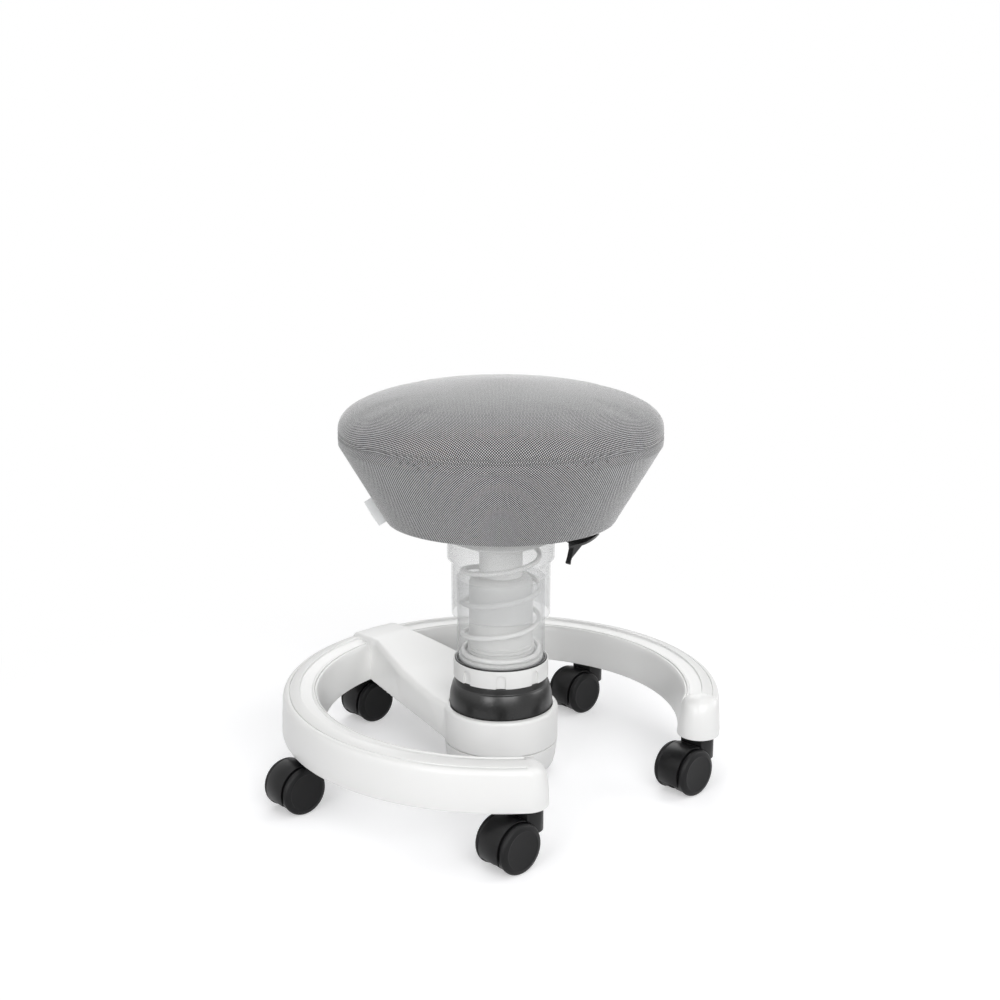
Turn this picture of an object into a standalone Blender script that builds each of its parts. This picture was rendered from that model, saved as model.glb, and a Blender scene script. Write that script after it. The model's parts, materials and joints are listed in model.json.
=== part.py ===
"""Balance stool: a padded seat on a gas lift and a coil spring, tilting on a castored C-shaped foot ring.

Metres, +Z up. The stool stands on z = 0, and the middle of its bounding box is over the origin.
The foot ring opens towards -Y, and its arm runs back along +Y. Every outline below is written
about the column's axis, which the empty called stool carries to its place.
"""
import math

import bmesh
import bpy
from mathutils import Matrix, Vector

# Clearances and cuts
GAP = 0.0003
OVERRUN = 0.002
MERGE = 0.000001
SHARP_ANGLE = math.radians(32)

# Facets around a full turn
SEAT_FACETS = 32
COLUMN_FACETS = 24
INNER_FACETS = 12
WHEEL_FACETS = 20
SMALL_FACETS = 8
COLUMN_FULL = 1 / math.cos(math.pi / COLUMN_FACETS)

# Castor wheels: each has a narrow tread under the hood and a wider flange that meets the floor
WHEEL_R = 0.0250
WHEEL_OUTER = 0.0215
WHEEL_INNER = 0.0035
WHEEL_FLANGE = 0.0070
WHEEL_FACE = 0.0035
WHEEL_ROUND = 0.0028
TREAD_DROP = 0.0012
AXLE_R = 0.0030
AXLE_HALF = WHEEL_OUTER - WHEEL_FACE
WHEEL_FULL = 1 / math.cos(math.pi / WHEEL_FACETS)
TREAD_R = (WHEEL_R - TREAD_DROP) * WHEEL_FULL

# Castor hood: it swivels on a steel stem, ahead of its wheels
HOOD_CLEAR = 0.0003
HOOD_WALL = 0.0014
HOOD_SIDE_CLEAR = 0.0015
HOOD_FRONT = math.radians(25)
HOOD_BACK = math.radians(225)
HOOD_STEPS = 10
HOOD_HALF = WHEEL_OUTER - WHEEL_FLANGE - HOOD_SIDE_CLEAR
HOOD_INNER_R = (TREAD_R + HOOD_CLEAR) / math.cos((HOOD_BACK - HOOD_FRONT) / HOOD_STEPS / 2)
HOOD_R = HOOD_INNER_R + HOOD_WALL
WEB_CLEAR = 0.0005
WEB_HALF = WHEEL_INNER - WEB_CLEAR
WEB_HUB_WALL = 0.0045
WEB_HUB_R = AXLE_R + WEB_HUB_WALL
WEB_SETBACK = math.radians(3)
TRAIL = 0.0225

# Foot ring: a C of five castor stems on one circle, with round ends
RING_R = 0.2145
RING_HALF = 0.0225
RING_TALL = 0.0454
RING_WALL = 0.0040
RING_END_ROUND = 0.0250
RING_CLEAR = 0.0074
RING_STEP = math.radians(6)
RING_BLOCK_HALF_ANGLE = math.radians(4.5)
CASTOR_STEP = math.radians(72)
RING_SECTION_SHARES = (
    (1.0, 0.0), (0.925, 0.78), (0.86, 0.90), (0.74, 0.945), (0.58, 0.95), (0.12, 1.0),
    (0.06, 0.965), (-0.48, 0.93), (-0.66, 0.925), (-0.73, 0.88), (-1.0, 0.0))
RING_END_TURNS = tuple(math.radians(turn) for turn in (18, 36, 54, 72, 84))
RING_CAVITY_SHARES = ((0.925, 0.70), (0.66, 0.945), (-0.50, 0.925), (-0.73, 0.74))
RING_LOW = WHEEL_R + HOOD_R + RING_CLEAR
RING_TOP = RING_LOW + RING_TALL
RING_OUTER_R = RING_R + RING_HALF
RING_INNER_R = RING_R - RING_HALF
CASTOR_NAMES = ("front_right", "right", "back", "left", "front_left")
FIRST_CASTOR = -math.pi / 2 + CASTOR_STEP / 2
LAST_CASTOR = FIRST_CASTOR + CASTOR_STEP * (len(CASTOR_NAMES) - 1)

# Castor stem, and the boss that holds it under the ring
STEM_R = 0.0055
STEM_DROP = 0.0131
STEM_GRIP = 0.0274
STEM_LOW = RING_LOW - STEM_DROP
STEM_TOP = RING_LOW + STEM_GRIP
BOSS_HALF = 0.0140
BOSS_NOSE = 0.0045
BOSS_BACK = 0.0110
BOSS_TALL = 0.0210
BOSS_STEPS = 6
BOSS_TOP = RING_LOW - 2 * GAP
BOSS_LOW = BOSS_TOP - BOSS_TALL

# Where the column's axis stands, so that the bounding box is over the origin
LEFT_REACH = RING_R * math.cos(FIRST_CASTOR + CASTOR_STEP) + TRAIL + HOOD_R
FRONT_REACH = RING_R * math.cos(CASTOR_STEP / 2) + RING_HALF
AXIS_X = (LEFT_REACH - RING_OUTER_R) / 2
AXIS_Y = (FRONT_REACH - RING_OUTER_R) / 2

# Hub: it carries the column inside the ring
HUB_R = 0.0622
HUB_WALL = 0.0054
HUB_DROP = 0.0216
HUB_TALL = 0.0396
HUB_ROUND = 0.0030
HUB_BORE_R = HUB_R - HUB_WALL
HUB_LOW = RING_LOW - HUB_DROP
HUB_TOP = HUB_LOW + HUB_TALL

# Arm: one moulding with the hub, lapped over the ring
ARM_WALL = 0.0040
ARM_ROUND = 0.0060
ARM_ROOT_TOP_HALF = 0.0540
ARM_NECK_TOP_HALF = 0.0303
ARM_ROOT_LOW_HALF = 0.0605
ARM_NECK_LOW_HALF = 0.0350
ARM_OVERLAP = 0.0040
ARM_END_WALL = 0.0075
ARM_LIP = 0.0023
ARM_LIP_ACROSS = 0.0155
ARM_LIP_HALF = 0.0330
ARM_RUN_SHARES = (
    (0.06, 0.0, 0.0), (0.30, 0.02, 0.13), (0.60, 0.295, 0.50), (0.80, 0.66, 0.80), (0.93, 0.92, 0.96))
ARM_REACH = RING_INNER_R + ARM_OVERLAP
ARM_END = RING_INNER_R - ARM_END_WALL
ARM_LIP_R = RING_R + ARM_LIP_ACROSS

# Cup that closes the hub from below
CUP_INSET = 0.0005
CUP_MIDDLE_INSET = 0.0020
CUP_FOOT_INSET = 0.0037
CUP_TALL = 0.0290
CUP_MIDDLE_TALL = 0.0110
CUP_FOOT_TALL = 0.0035
CUP_WALL = 0.0030
CUP_LIP = 0.0027
CUP_TOP_R = HUB_R - CUP_INSET
CUP_MIDDLE_R = CUP_TOP_R - CUP_MIDDLE_INSET
CUP_FOOT_R = CUP_TOP_R - CUP_FOOT_INSET
CUP_LOW = HUB_LOW - CUP_TALL
CUP_MIDDLE_Z = CUP_LOW + CUP_MIDDLE_TALL
CUP_FOOT_Z = CUP_LOW + CUP_FOOT_TALL

# Gas lift: the guide tube, the cylinder in it, and the rod that is clipped to its floor
GAS_TUBE_R = 0.0234
GAS_TUBE_WALL = 0.0020
GAS_TUBE_TALL = 0.2037
GAS_FLOOR = 0.0030
BUSH_TALL = 0.0525
CYLINDER_R = 0.0140
CYLINDER_TIP_STEP = 0.0005
CYLINDER_WALL = 0.0024
CYLINDER_CLEAR = 0.0009
CYLINDER_SHOW = 0.0013
CYLINDER_TUCK = 0.0085
CYLINDER_FLOOR = 0.0040
CYLINDER_HEAD = 0.0150
ROD_R = 0.0050
ROD_SHOULDER_WIDE = 0.0030
ROD_SHOULDER = 0.0020
BEARING_TALL = 0.0060
BEARING_WIDE = 0.0100
CLIP_WIDE = 0.0040
CLIP_TALL = 0.0016
ROD_TIP = 0.0020
PISTON_RISE = 0.1155
PISTON_TALL = 0.0080
PISTON_CLEAR = 0.0004
VALVE_R = 0.0022
VALVE_INSET = 0.0030
VALVE_CLEAR = 0.0006
CYLINDER_TIP_R = CYLINDER_R - CYLINDER_TIP_STEP
CYLINDER_BORE_R = CYLINDER_R - CYLINDER_WALL

# Clear dust tubes
LOWER_TUBE_R = 0.0474
LOWER_TUBE_TALL = 0.1052
TUBE_WALL = 0.0015
TUBE_STEP = 0.0056
UPPER_TUBE_TALL = 0.0570
COLLAR_STEP = 0.0044
COLLAR_STEP_TALL = 0.0050
COLLAR_TALL = 0.0310
UPPER_TUBE_R = LOWER_TUBE_R + TUBE_STEP
COLLAR_R = UPPER_TUBE_R + COLLAR_STEP

# Pillar: the fixed tube of the spring strut, with its tail below the pivot
PIVOT_RISE = 0.0044
PILLAR_R = 0.0344
PILLAR_WALL = 0.0030
PILLAR_TALL = 0.0637
PILLAR_RIB_WIDE = 0.0016
PILLAR_RIB_RISE = 0.0083
PILLAR_RIB_PITCH = 0.0040
PILLAR_RIBS = 3
PILLAR_STEP_WIDE = 0.0051
PILLAR_STEP_TALL = 0.0197
FLANGE_WIDE = 0.0008
FLANGE_RISE = 0.0290
FLANGE_TALL = 0.0045
TAIL_CLEAR = 0.0006
TAIL_WALL = 0.0025
TAIL_BEND = 0.0120
TAIL_REACH = 0.0620
PIVOT_Z = HUB_TOP + PIVOT_RISE
PILLAR_RIB_R = PILLAR_R + PILLAR_RIB_WIDE
PILLAR_STEP_R = PILLAR_R + PILLAR_STEP_WIDE
FLANGE_R = LOWER_TUBE_R + FLANGE_WIDE
FLANGE_LOW = PIVOT_Z + FLANGE_RISE
PILLAR_STEP_Z = FLANGE_LOW + PILLAR_STEP_TALL
PILLAR_RIB_LOW = PILLAR_STEP_Z + PILLAR_RIB_RISE
PILLAR_TOP = FLANGE_LOW + PILLAR_TALL
TAIL_R = GAS_TUBE_R + TAIL_CLEAR + TAIL_WALL
TAIL_TOP = FLANGE_LOW - TAIL_BEND
TAIL_LOW = PIVOT_Z - TAIL_REACH
TUBE_FOOT = FLANGE_LOW + FLANGE_TALL + GAP
LOWER_TUBE_TOP = TUBE_FOOT + LOWER_TUBE_TALL

# Rubber tilt bearing: the dome and the core turn about the pivot
DOME_CLEAR = 0.0008
DOME_WALL = 0.0030
DOME_SKIRT = 0.0190
DOME_NECK_WIDE = 0.0023
DOME_NECK_RISE = 0.0220
DOME_STEPS = 4
CORE_INSET = 0.0030
CORE_TALL = 0.0115
DOME_R = HUB_BORE_R - DOME_CLEAR
DOME_LOW = PIVOT_Z - DOME_SKIRT
DOME_NECK_R = FLANGE_R + DOME_NECK_WIDE
DOME_NECK_Z = PIVOT_Z + DOME_NECK_RISE
CORE_LOW = HUB_LOW + CORE_INSET
CORE_TOP = CORE_LOW + CORE_TALL

# Guide cap on the pillar
CAP_TALL = 0.0478
CAP_ROUND = 0.0103
CAP_WALL = 0.0030
CAP_GUIDE = 0.0130
CAP_SPIGOT = 0.0120
CAP_ROUND_STEPS = 3
CAP_LOW = PILLAR_TOP + GAP
CAP_TOP = CAP_LOW + CAP_TALL

# Coil spring between its two seats
SPRING_INSET = 0.0043
SPRING_WIRE_R = 0.0027
SPRING_PITCH = 0.0352
SPRING_ROOM = 0.1280
SPRING_FRONT = math.radians(227.8)
SPRING_LOW_REST = 0.55
SPRING_LIFT_OFF = 0.10
SPRING_EASE = 0.25
SPRING_HIGH_REST = 0.60
SPRING_POINTS = 10
LOWER_SEAT_TALL = 0.0040
UPPER_SEAT_TALL = 0.0060
LOWER_SEAT_R = LOWER_TUBE_R - TUBE_WALL - GAP
LOWER_SEAT_LOW = PILLAR_STEP_Z + GAP
LOWER_SEAT_TOP = LOWER_SEAT_LOW + LOWER_SEAT_TALL
UPPER_SEAT_LOW = LOWER_SEAT_TOP + SPRING_ROOM
UPPER_SEAT_TOP = UPPER_SEAT_LOW + UPPER_SEAT_TALL
SPRING_R = LOWER_SEAT_R - SPRING_INSET
SPRING_LOW = LOWER_SEAT_TOP + GAP + SPRING_WIRE_R
SPRING_HIGH = UPPER_SEAT_LOW - GAP - SPRING_WIRE_R
COLLAR_LOW = UPPER_SEAT_TOP - COLLAR_TALL
COLLAR_FULL = COLLAR_LOW + COLLAR_STEP_TALL
UPPER_TUBE_LOW = COLLAR_LOW - UPPER_TUBE_TALL

# Places of the gas lift, hung from the upper spring seat
GAS_TUBE_TOP = UPPER_SEAT_TOP - GAP
GAS_TUBE_LOW = GAS_TUBE_TOP - GAS_TUBE_TALL
BUSH_LOW = GAS_TUBE_TOP - BUSH_TALL
BEARING_LOW = GAS_TUBE_LOW + GAS_FLOOR + GAP
SHOULDER_LOW = BEARING_LOW + BEARING_TALL + GAP
CLIP_LOW = GAS_TUBE_LOW - GAP - CLIP_TALL
CYLINDER_LOW = SHOULDER_LOW + ROD_SHOULDER + CYLINDER_CLEAR
CYLINDER_STEP = GAS_TUBE_TOP + CYLINDER_SHOW
PISTON_LOW = CYLINDER_LOW + CYLINDER_FLOOR + PISTON_RISE

# Lock ring and its seal
SEAL_WIDE = 0.0016
SEAL_PROUD = 0.0008
LOCK_WALL = 0.0015
LOCK_TALL = 0.0193
LOCK_ROUND = 0.0010
LOCK_LIP_TALL = 0.0040
NOTCH_COUNT = 8
NOTCH_TURN = math.radians(47.8)
NOTCH_HALF = 0.0048
NOTCH_TALL = 0.0150
NOTCH_DEPTH = 0.0011
SEAL_R = LOWER_TUBE_R + GAP + SEAL_WIDE
LOCK_INNER_R = (FLANGE_R + GAP) * COLUMN_FULL
LOCK_LIP_R = (SEAL_R + GAP) * COLUMN_FULL
LOCK_R = LOCK_LIP_R + LOCK_WALL
LOCK_TOP = FLANGE_LOW + LOCK_TALL
NOTCH_TOP = FLANGE_LOW + NOTCH_TALL

# Seat plate with its socket and the ears of the lever
PLATE_TALL = 0.0030
PLATE_HALF = 0.0600
PLATE_CORNER = 0.0150
SOCKET_WALL = 0.0072
SOCKET_CLEAR = 0.0025
SOCKET_TALL = 0.0370
SLOT_HALF = 0.0070
SLOT_TALL = 0.0070
EAR_CLEAR = 0.0025
EAR_THICK = 0.0020
EAR_HALF = 0.0055
EAR_DROP = 0.0040
PIN_R = 0.0020
PIN_SHOW = 0.0030
SOCKET_R = CYLINDER_TIP_R + GAP + SOCKET_WALL
SOCKET_LOW = CYLINDER_STEP + SOCKET_CLEAR
PLATE_LOW = SOCKET_LOW + SOCKET_TALL
PLATE_TOP = PLATE_LOW + PLATE_TALL
SLOT_LOW = PLATE_LOW - SLOT_TALL
CYLINDER_TOP = PLATE_LOW - CYLINDER_TUCK
CYLINDER_BORE_TOP = CYLINDER_TOP - CYLINDER_HEAD

# Seat: plastic pan, foam and cover
PAN_INSET = 0.0087
PAN_WALL = 0.0040
PAN_FLOOR_TALL = 0.0030
PAN_TALL = 0.0402
HEM_DROP = 0.0270
HEM_TALL = 0.0019
HEM_WIDE = 0.0122
HEM_ROUND = 0.0019
CONE_LOW_R = 0.1222
CONE_LOW_RISE = 0.0020
CONE_TALL = 0.0806
CONE_SPREAD = 0.0469
WIDEST_SPREAD = 0.0003
WIDEST_RISE = 0.0129
CROWN_TALL = 0.0507
CROWN_FLAT_R = 0.0080
CROWN_SIDE_POWER = 1.478
CROWN_RISE_POWER = 0.681
CROWN_TURNS = tuple(math.radians(turn) for turn in (72, 58, 44, 31, 19, 8))
SEAM_DROP = 0.0024
SEAM_HALF = 0.0013
SEAM_DEPTH = 0.0008
COVER_THICK = 0.0020
TAG_TURN = math.radians(151.3)
TAG_WIDE = 0.0085
TAG_THICK = 0.0009
TAG_RISE = 0.0037
TAG_TALL = 0.0249
PAN_FLOOR = PLATE_TOP + GAP
PAN_TOP = PAN_FLOOR + PAN_TALL
HEM_LOW = PAN_FLOOR - HEM_DROP
HEM_TOP = HEM_LOW + HEM_TALL
HEM_INNER_R = CONE_LOW_R - HEM_WIDE
PAN_LOW = HEM_TOP + GAP
CONE_LOW_Z = HEM_LOW + CONE_LOW_RISE
CONE_TOP_Z = CONE_LOW_Z + CONE_TALL
CONE_TOP_R = CONE_LOW_R + CONE_SPREAD
WIDEST_R = CONE_TOP_R + WIDEST_SPREAD
WIDEST_Z = CONE_TOP_Z + WIDEST_RISE
CROWN_Z = WIDEST_Z + CROWN_TALL
SEAM_Z = WIDEST_Z - SEAM_DROP
CONE_SLOPE = CONE_SPREAD / CONE_TALL
CONE_SECANT = math.hypot(1, CONE_SLOPE)
TAG_LOW = HEM_LOW + TAG_RISE
TAG_TOP = TAG_LOW + TAG_TALL

# Height lever, under the seat's rim
LEVER_ARM = 0.0400
LEVER_DROP = 0.0080
LEVER_HALF = 0.0055
LEVER_THICK = 0.0050
LEVER_TIP_THICK = 0.0020
LEVER_TIP_PAST = 0.0030
LEVER_TIP_CLEAR = 0.0004
LEVER_HANG = 0.0096
LEVER_BAR_TALL = 0.0043
LEVER_BAR_INSET = 0.0002
PADDLE_INSET = 0.0022
PADDLE_WIDE = 0.0215
PADDLE_FROM = math.radians(-98.5)
PADDLE_TO = math.radians(-75.5)
PADDLE_STEPS = 6
FIN_TALL = 0.0165
FIN_THICK = 0.0034
FIN_INSET = 0.0015
FIN_SHARES = ((0.01, 1.0), (0.09, 1.0), (0.16, 0.80), (0.33, 0.45), (0.55, 0.10), (0.70, -0.10))
LEVER_Y = -LEVER_ARM
LEVER_Z = PLATE_LOW - LEVER_DROP
LEVER_TIP_LOW = PLATE_LOW - LEVER_TIP_CLEAR - LEVER_TIP_THICK
LEVER_BAR_LOW = HEM_LOW - LEVER_HANG
LEVER_BAR_TOP = LEVER_BAR_LOW + LEVER_BAR_TALL
PADDLE_OUTER_R = CONE_LOW_R - PADDLE_INSET
PADDLE_INNER_R = PADDLE_OUTER_R - PADDLE_WIDE
FIN_OUTER_R = PADDLE_OUTER_R - FIN_INSET
EAR_INSIDE = LEVER_HALF + EAR_CLEAR
EAR_LOW = LEVER_Z - EAR_DROP
PIN_HALF = EAR_INSIDE + EAR_THICK + PIN_SHOW
VALVE_LOW = CYLINDER_BORE_TOP + VALVE_INSET
VALVE_TOP = LEVER_TIP_LOW - VALVE_CLEAR

# Screws
SCREW_R = 0.0020
SCREW_HEAD_R = 0.0042
SCREW_HEAD_TALL = 0.0026
SEAT_SCREW_EDGE = 0.0180
ARM_SCREW_SPREAD = 0.0110
ARM_SCREW_RISE = 0.0214
ARM_SCREW_GRIP = 0.0130
SEAT_SCREW_SPREAD = PLATE_HALF - SEAT_SCREW_EDGE
ARM_SCREW_Z = RING_LOW + ARM_SCREW_RISE


def clear_scene():
    """Takes every object out of the open file."""
    for thing in list(bpy.data.objects):
        bpy.data.objects.remove(thing, do_unlink=True)


def finish(name, colour, roughness, metallic=0.0, alpha=1.0):
    """One Principled material."""
    material = bpy.data.materials.new(name)
    material.use_nodes = True
    shader = material.node_tree.nodes["Principled BSDF"]
    shader.inputs["Base Color"].default_value = (*colour, 1)
    shader.inputs["Roughness"].default_value = roughness
    shader.inputs["Metallic"].default_value = metallic
    shader.inputs["Alpha"].default_value = alpha
    return material


def solid(name, bm):
    """A new object of the finished mesh, with its faces turned outwards."""
    bmesh.ops.remove_doubles(bm, verts=bm.verts, dist=MERGE)
    bmesh.ops.recalc_face_normals(bm, faces=bm.faces)
    mesh = bpy.data.meshes.new(name)
    bm.to_mesh(mesh)
    bm.free()
    body = bpy.data.objects.new(name, mesh)
    bpy.context.scene.collection.objects.link(body)
    return body


def turned(name, outline, facets, along_y=False, half_step=False):
    """Spins a closed outline of (radius, height) points, about Z or about Y."""
    bm = bmesh.new()
    corners = [bm.verts.new((radius, 0, height)) for radius, height in outline]
    edges = []
    for one, two in zip(corners, corners[1:] + corners[:1]):
        if max(one.co.x, two.co.x) > 0:
            edges.append(bm.edges.new((one, two)))
    bmesh.ops.spin(bm, geom=corners + edges, cent=(0, 0, 0), axis=(0, 0, 1),
                   angle=math.tau, steps=facets, use_duplicate=False)
    turn = math.pi / facets if half_step else 0
    bmesh.ops.rotate(bm, verts=bm.verts, matrix=Matrix.Rotation(turn, 3, "Z"))
    if along_y:
        bmesh.ops.rotate(bm, verts=bm.verts, matrix=Matrix.Rotation(-math.pi / 2, 3, "X"))
    return solid(name, bm)


def prism(name, outline, low, high, along_y=False):
    """Extrudes a flat outline from low to high, along Z or along Y."""
    bm = bmesh.new()
    if along_y:
        corners = [bm.verts.new((x, low, z)) for x, z in outline]
        travel = Vector((0, high - low, 0))
    else:
        corners = [bm.verts.new((x, y, low)) for x, y in outline]
        travel = Vector((0, 0, high - low))
    face = bm.faces.new(corners)
    pulled = bmesh.ops.extrude_face_region(bm, geom=[face])
    far_end = [item for item in pulled["geom"] if isinstance(item, bmesh.types.BMVert)]
    bmesh.ops.translate(bm, verts=far_end, vec=travel)
    return solid(name, bm)


def lofted(name, sections):
    """Skins a row of sections that have equally many points, and closes both ends."""
    bm = bmesh.new()
    rows = [[bm.verts.new(point) for point in section] for section in sections]
    for one, two in zip(rows, rows[1:]):
        for spot in range(len(one)):
            after = (spot + 1) % len(one)
            bm.faces.new((one[spot], one[after], two[after], two[spot]))
    bm.faces.new(rows[0])
    bm.faces.new(rows[-1])
    return solid(name, bm)


def shaped(body, tools, operation):
    """Joins or cuts a body with its tools, and takes the tools away."""
    for tool in tools:
        step = body.modifiers.new(operation.lower(), "BOOLEAN")
        step.operation = operation
        step.solver = "EXACT"
        step.object = tool
    bpy.context.view_layer.update()
    graph = bpy.context.evaluated_depsgraph_get()
    mesh = bpy.data.meshes.new_from_object(body.evaluated_get(graph))
    body.modifiers.clear()
    body.data = mesh
    for tool in tools:
        bpy.data.objects.remove(tool, do_unlink=True)
    return body


def moved(body, place, turn=None):
    """Turns and shifts a body's mesh and leaves its origin where it is."""
    body.data.transform(Matrix.Translation(place) @ (turn or Matrix.Identity(4)))
    return body


def arc(centre_x, centre_y, radius, start, end, steps):
    """Points along an arc, both ends included."""
    points = []
    for step in range(steps + 1):
        turn = start + (end - start) * step / steps
        points.append((centre_x + radius * math.cos(turn), centre_y + radius * math.sin(turn)))
    return points


def disc(name, radius, low, high, facets):
    """A plain round bar, for cutting or joining."""
    return turned(name, [(0, low), (radius, low), (radius, high), (0, high)], facets)


def band(inner, outer, low, high):
    """The outline of a plain ring."""
    return [(inner, low), (outer, low), (outer, high), (inner, high)]


def empty(name, place, parent=None):
    """An empty that carries pieces at a joint."""
    holder = bpy.data.objects.new(name, None)
    holder.empty_display_size = RING_HALF
    holder.location = place
    holder.parent = parent
    bpy.context.scene.collection.objects.link(holder)
    return holder


def carried(body, holder, material):
    """Hangs a piece that is drawn about the column's axis on the empty of its joint."""
    body.parent = holder
    if holder.parent:
        body.location = -holder.location
    body.data.materials.clear()
    body.data.materials.append(material)
    if body.type == "MESH":
        body.data.shade_smooth()
        body.data.set_sharp_from_angle(angle=SHARP_ANGLE)
    return body


def castor_angle(number):
    """The direction of a castor's stem, counted from the front right end of the ring."""
    return FIRST_CASTOR + CASTOR_STEP * number


def rim_point(angle, along, across, height):
    """A point of the ring, by its angle and its offsets along and across the rim."""
    outwards = Vector((math.cos(angle), math.sin(angle), 0))
    onwards = Vector((-math.sin(angle), math.cos(angle), 0))
    return outwards * (RING_R + across) + onwards * along + Vector((0, 0, RING_LOW + height))


def end_fall(along):
    """How far the bull-nosed end has dropped at a distance past its stem."""
    return RING_END_ROUND - math.sqrt(RING_END_ROUND ** 2 - along ** 2)


def grown(outline, margin):
    """A closed anticlockwise outline, moved outwards by a margin with mitred corners."""
    corners = [Vector(point) for point in outline]
    result = []
    for spot, corner in enumerate(corners):
        into = (corner - corners[spot - 1]).normalized()
        out = (corners[(spot + 1) % len(corners)] - corner).normalized()
        mitre = Vector((into.y + out.y, -into.x - out.x)).normalized()
        result.append(corner + mitre * margin / mitre.dot(Vector((out.y, -out.x))))
    return result


def ring_sections(margin=0.0):
    """Sections of the rim from one round end to the other, grown all round if asked."""
    sections = []
    stops = [(FIRST_CASTOR, -turn) for turn in reversed(RING_END_TURNS)]
    steps = round((LAST_CASTOR - FIRST_CASTOR) / RING_STEP)
    stops += [(FIRST_CASTOR + RING_STEP * step, 0) for step in range(steps + 1)]
    stops += [(LAST_CASTOR, turn) for turn in RING_END_TURNS]
    for angle, turn in stops:
        along = RING_HALF * math.sin(turn)
        width = math.cos(turn)
        lower = (RING_TALL - end_fall(along)) / RING_TALL
        section = [(RING_HALF * across * width, RING_TALL * height * lower)
                   for across, height in RING_SECTION_SHARES]
        sections.append([rim_point(angle, along, *spot) for spot in grown(section, margin)])
    return sections


def ring_cavity(number):
    """The hollow below the rim, between one castor's block and the next."""
    start = castor_angle(number) + RING_BLOCK_HALF_ANGLE
    sweep = CASTOR_STEP - 2 * RING_BLOCK_HALF_ANGLE
    steps = round(sweep / RING_STEP)
    foot = RING_HALF - RING_WALL
    outline = [(foot, -OVERRUN)]
    for across, height in RING_CAVITY_SHARES:
        side = RING_HALF * across - math.copysign(RING_WALL, across)
        outline.append((side, RING_TALL * height - RING_WALL))
    outline.append((-foot, -OVERRUN))
    sections = []
    for step in range(steps + 1):
        angle = start + sweep * step / steps
        sections.append([rim_point(angle, 0, across, height) for across, height in outline])
    return lofted("hollow", sections)


def arm_screw_holes(radius, start, end):
    """Two bars along Y where the arm is screwed to the ring."""
    bars = []
    outline = [(0, start), (radius, start), (radius, end), (0, end)]
    for side in (-1, 1):
        bar = turned("hole", outline, SMALL_FACETS, along_y=True)
        bars.append(moved(bar, (side * ARM_SCREW_SPREAD, 0, ARM_SCREW_Z)))
    return bars


def arm_screw_end():
    """How far back the arm's screws reach, into the block of the back castor."""
    return RING_INNER_R + ARM_SCREW_GRIP


def make_foot_ring():
    """The C-shaped rim, hollow from below, with a bored block at each castor."""
    ring = lofted("foot_ring", ring_sections())
    cuts = [ring_cavity(number) for number in range(len(CASTOR_NAMES) - 1)]
    for number in range(len(CASTOR_NAMES)):
        bore = disc("bore", STEM_R + GAP, RING_LOW - OVERRUN, STEM_TOP + GAP, INNER_FACETS)
        cuts.append(moved(bore, rim_point(castor_angle(number), 0, 0, -RING_LOW)))
    cuts += arm_screw_holes(SCREW_R + GAP, ARM_END, arm_screw_end() + GAP)
    return shaped(ring, cuts, "DIFFERENCE")


def arm_stations():
    """Stations of the arm: place, half widths and heights at its top and underside."""
    stations = []
    rise = RING_TOP + ARM_LIP - HUB_TOP
    for run, narrowing, climb in ARM_RUN_SHARES:
        place = ARM_REACH * run
        top_half = ARM_ROOT_TOP_HALF + (ARM_NECK_TOP_HALF - ARM_ROOT_TOP_HALF) * narrowing
        low_half = ARM_ROOT_LOW_HALF + (ARM_NECK_LOW_HALF - ARM_ROOT_LOW_HALF) * run
        low = HUB_LOW + GAP + (RING_LOW - HUB_LOW) * run
        stations.append((place, top_half, HUB_TOP + rise * climb, low_half, low))
    top = RING_TOP + ARM_LIP
    stations.append((ARM_REACH, ARM_NECK_TOP_HALF, top, ARM_NECK_LOW_HALF, RING_LOW))
    stations.append((RING_R, ARM_LIP_HALF, top, ARM_LIP_HALF, RING_LOW))
    stations.append((RING_OUTER_R, ARM_LIP_HALF, top - ARM_LIP, ARM_LIP_HALF, RING_LOW))
    return stations


def arm_section(place, top_half, top, low_half, low):
    """One cross-section of the arm, with rounded upper edges."""
    near = ARM_ROUND * (1 - math.cos(math.pi / 4))
    half = [(low_half, low), (top_half, top - ARM_ROUND), (top_half - near, top - near),
            (top_half - ARM_ROUND, top)]
    mirrored = [(-across, height) for across, height in reversed(half)]
    return [(across, place, height) for across, height in half + mirrored]


def arm_hollow():
    """The space below the arm's skin."""
    sections = []
    for place, top_half, top, low_half, low in arm_stations():
        if place > ARM_END:
            break
        half = [(low_half - ARM_WALL, low - OVERRUN), (top_half - ARM_WALL, top - ARM_ROUND),
                (top_half - ARM_ROUND - ARM_WALL, top - ARM_WALL)]
        mirrored = [(-across, height) for across, height in reversed(half)]
        sections.append([(across, place, height) for across, height in half + mirrored])
    sections.append([(across, ARM_END, height) for across, place, height in sections[-1]])
    return lofted("hollow", sections)


def make_hub_arm():
    """Hub and arm in one moulding; the arm laps over the ring and is shaped to it."""
    arm = lofted("hub_arm", [arm_section(*station) for station in arm_stations()])
    shaped(arm, [disc("reach", ARM_LIP_R, 0, RING_TOP + RING_TALL, 2 * SEAT_FACETS)], "INTERSECT")
    shaped(arm, [arm_hollow()], "DIFFERENCE")
    rim = arc(HUB_R - HUB_ROUND, HUB_TOP - HUB_ROUND, HUB_ROUND, 0, math.pi / 2, 2)
    hub = turned("hub", [(0, HUB_LOW), (HUB_R, HUB_LOW)] + rim + [(0, HUB_TOP)], COLUMN_FACETS)
    shaped(arm, [hub], "UNION")
    cuts = [disc("bore", HUB_BORE_R, HUB_LOW - OVERRUN, RING_TOP, COLUMN_FACETS)]
    cuts.append(lofted("ring_space", ring_sections(GAP)))
    cuts += arm_screw_holes(SCREW_R + GAP, ARM_END - OVERRUN, RING_R)
    return shaped(arm, cuts, "DIFFERENCE")


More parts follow.
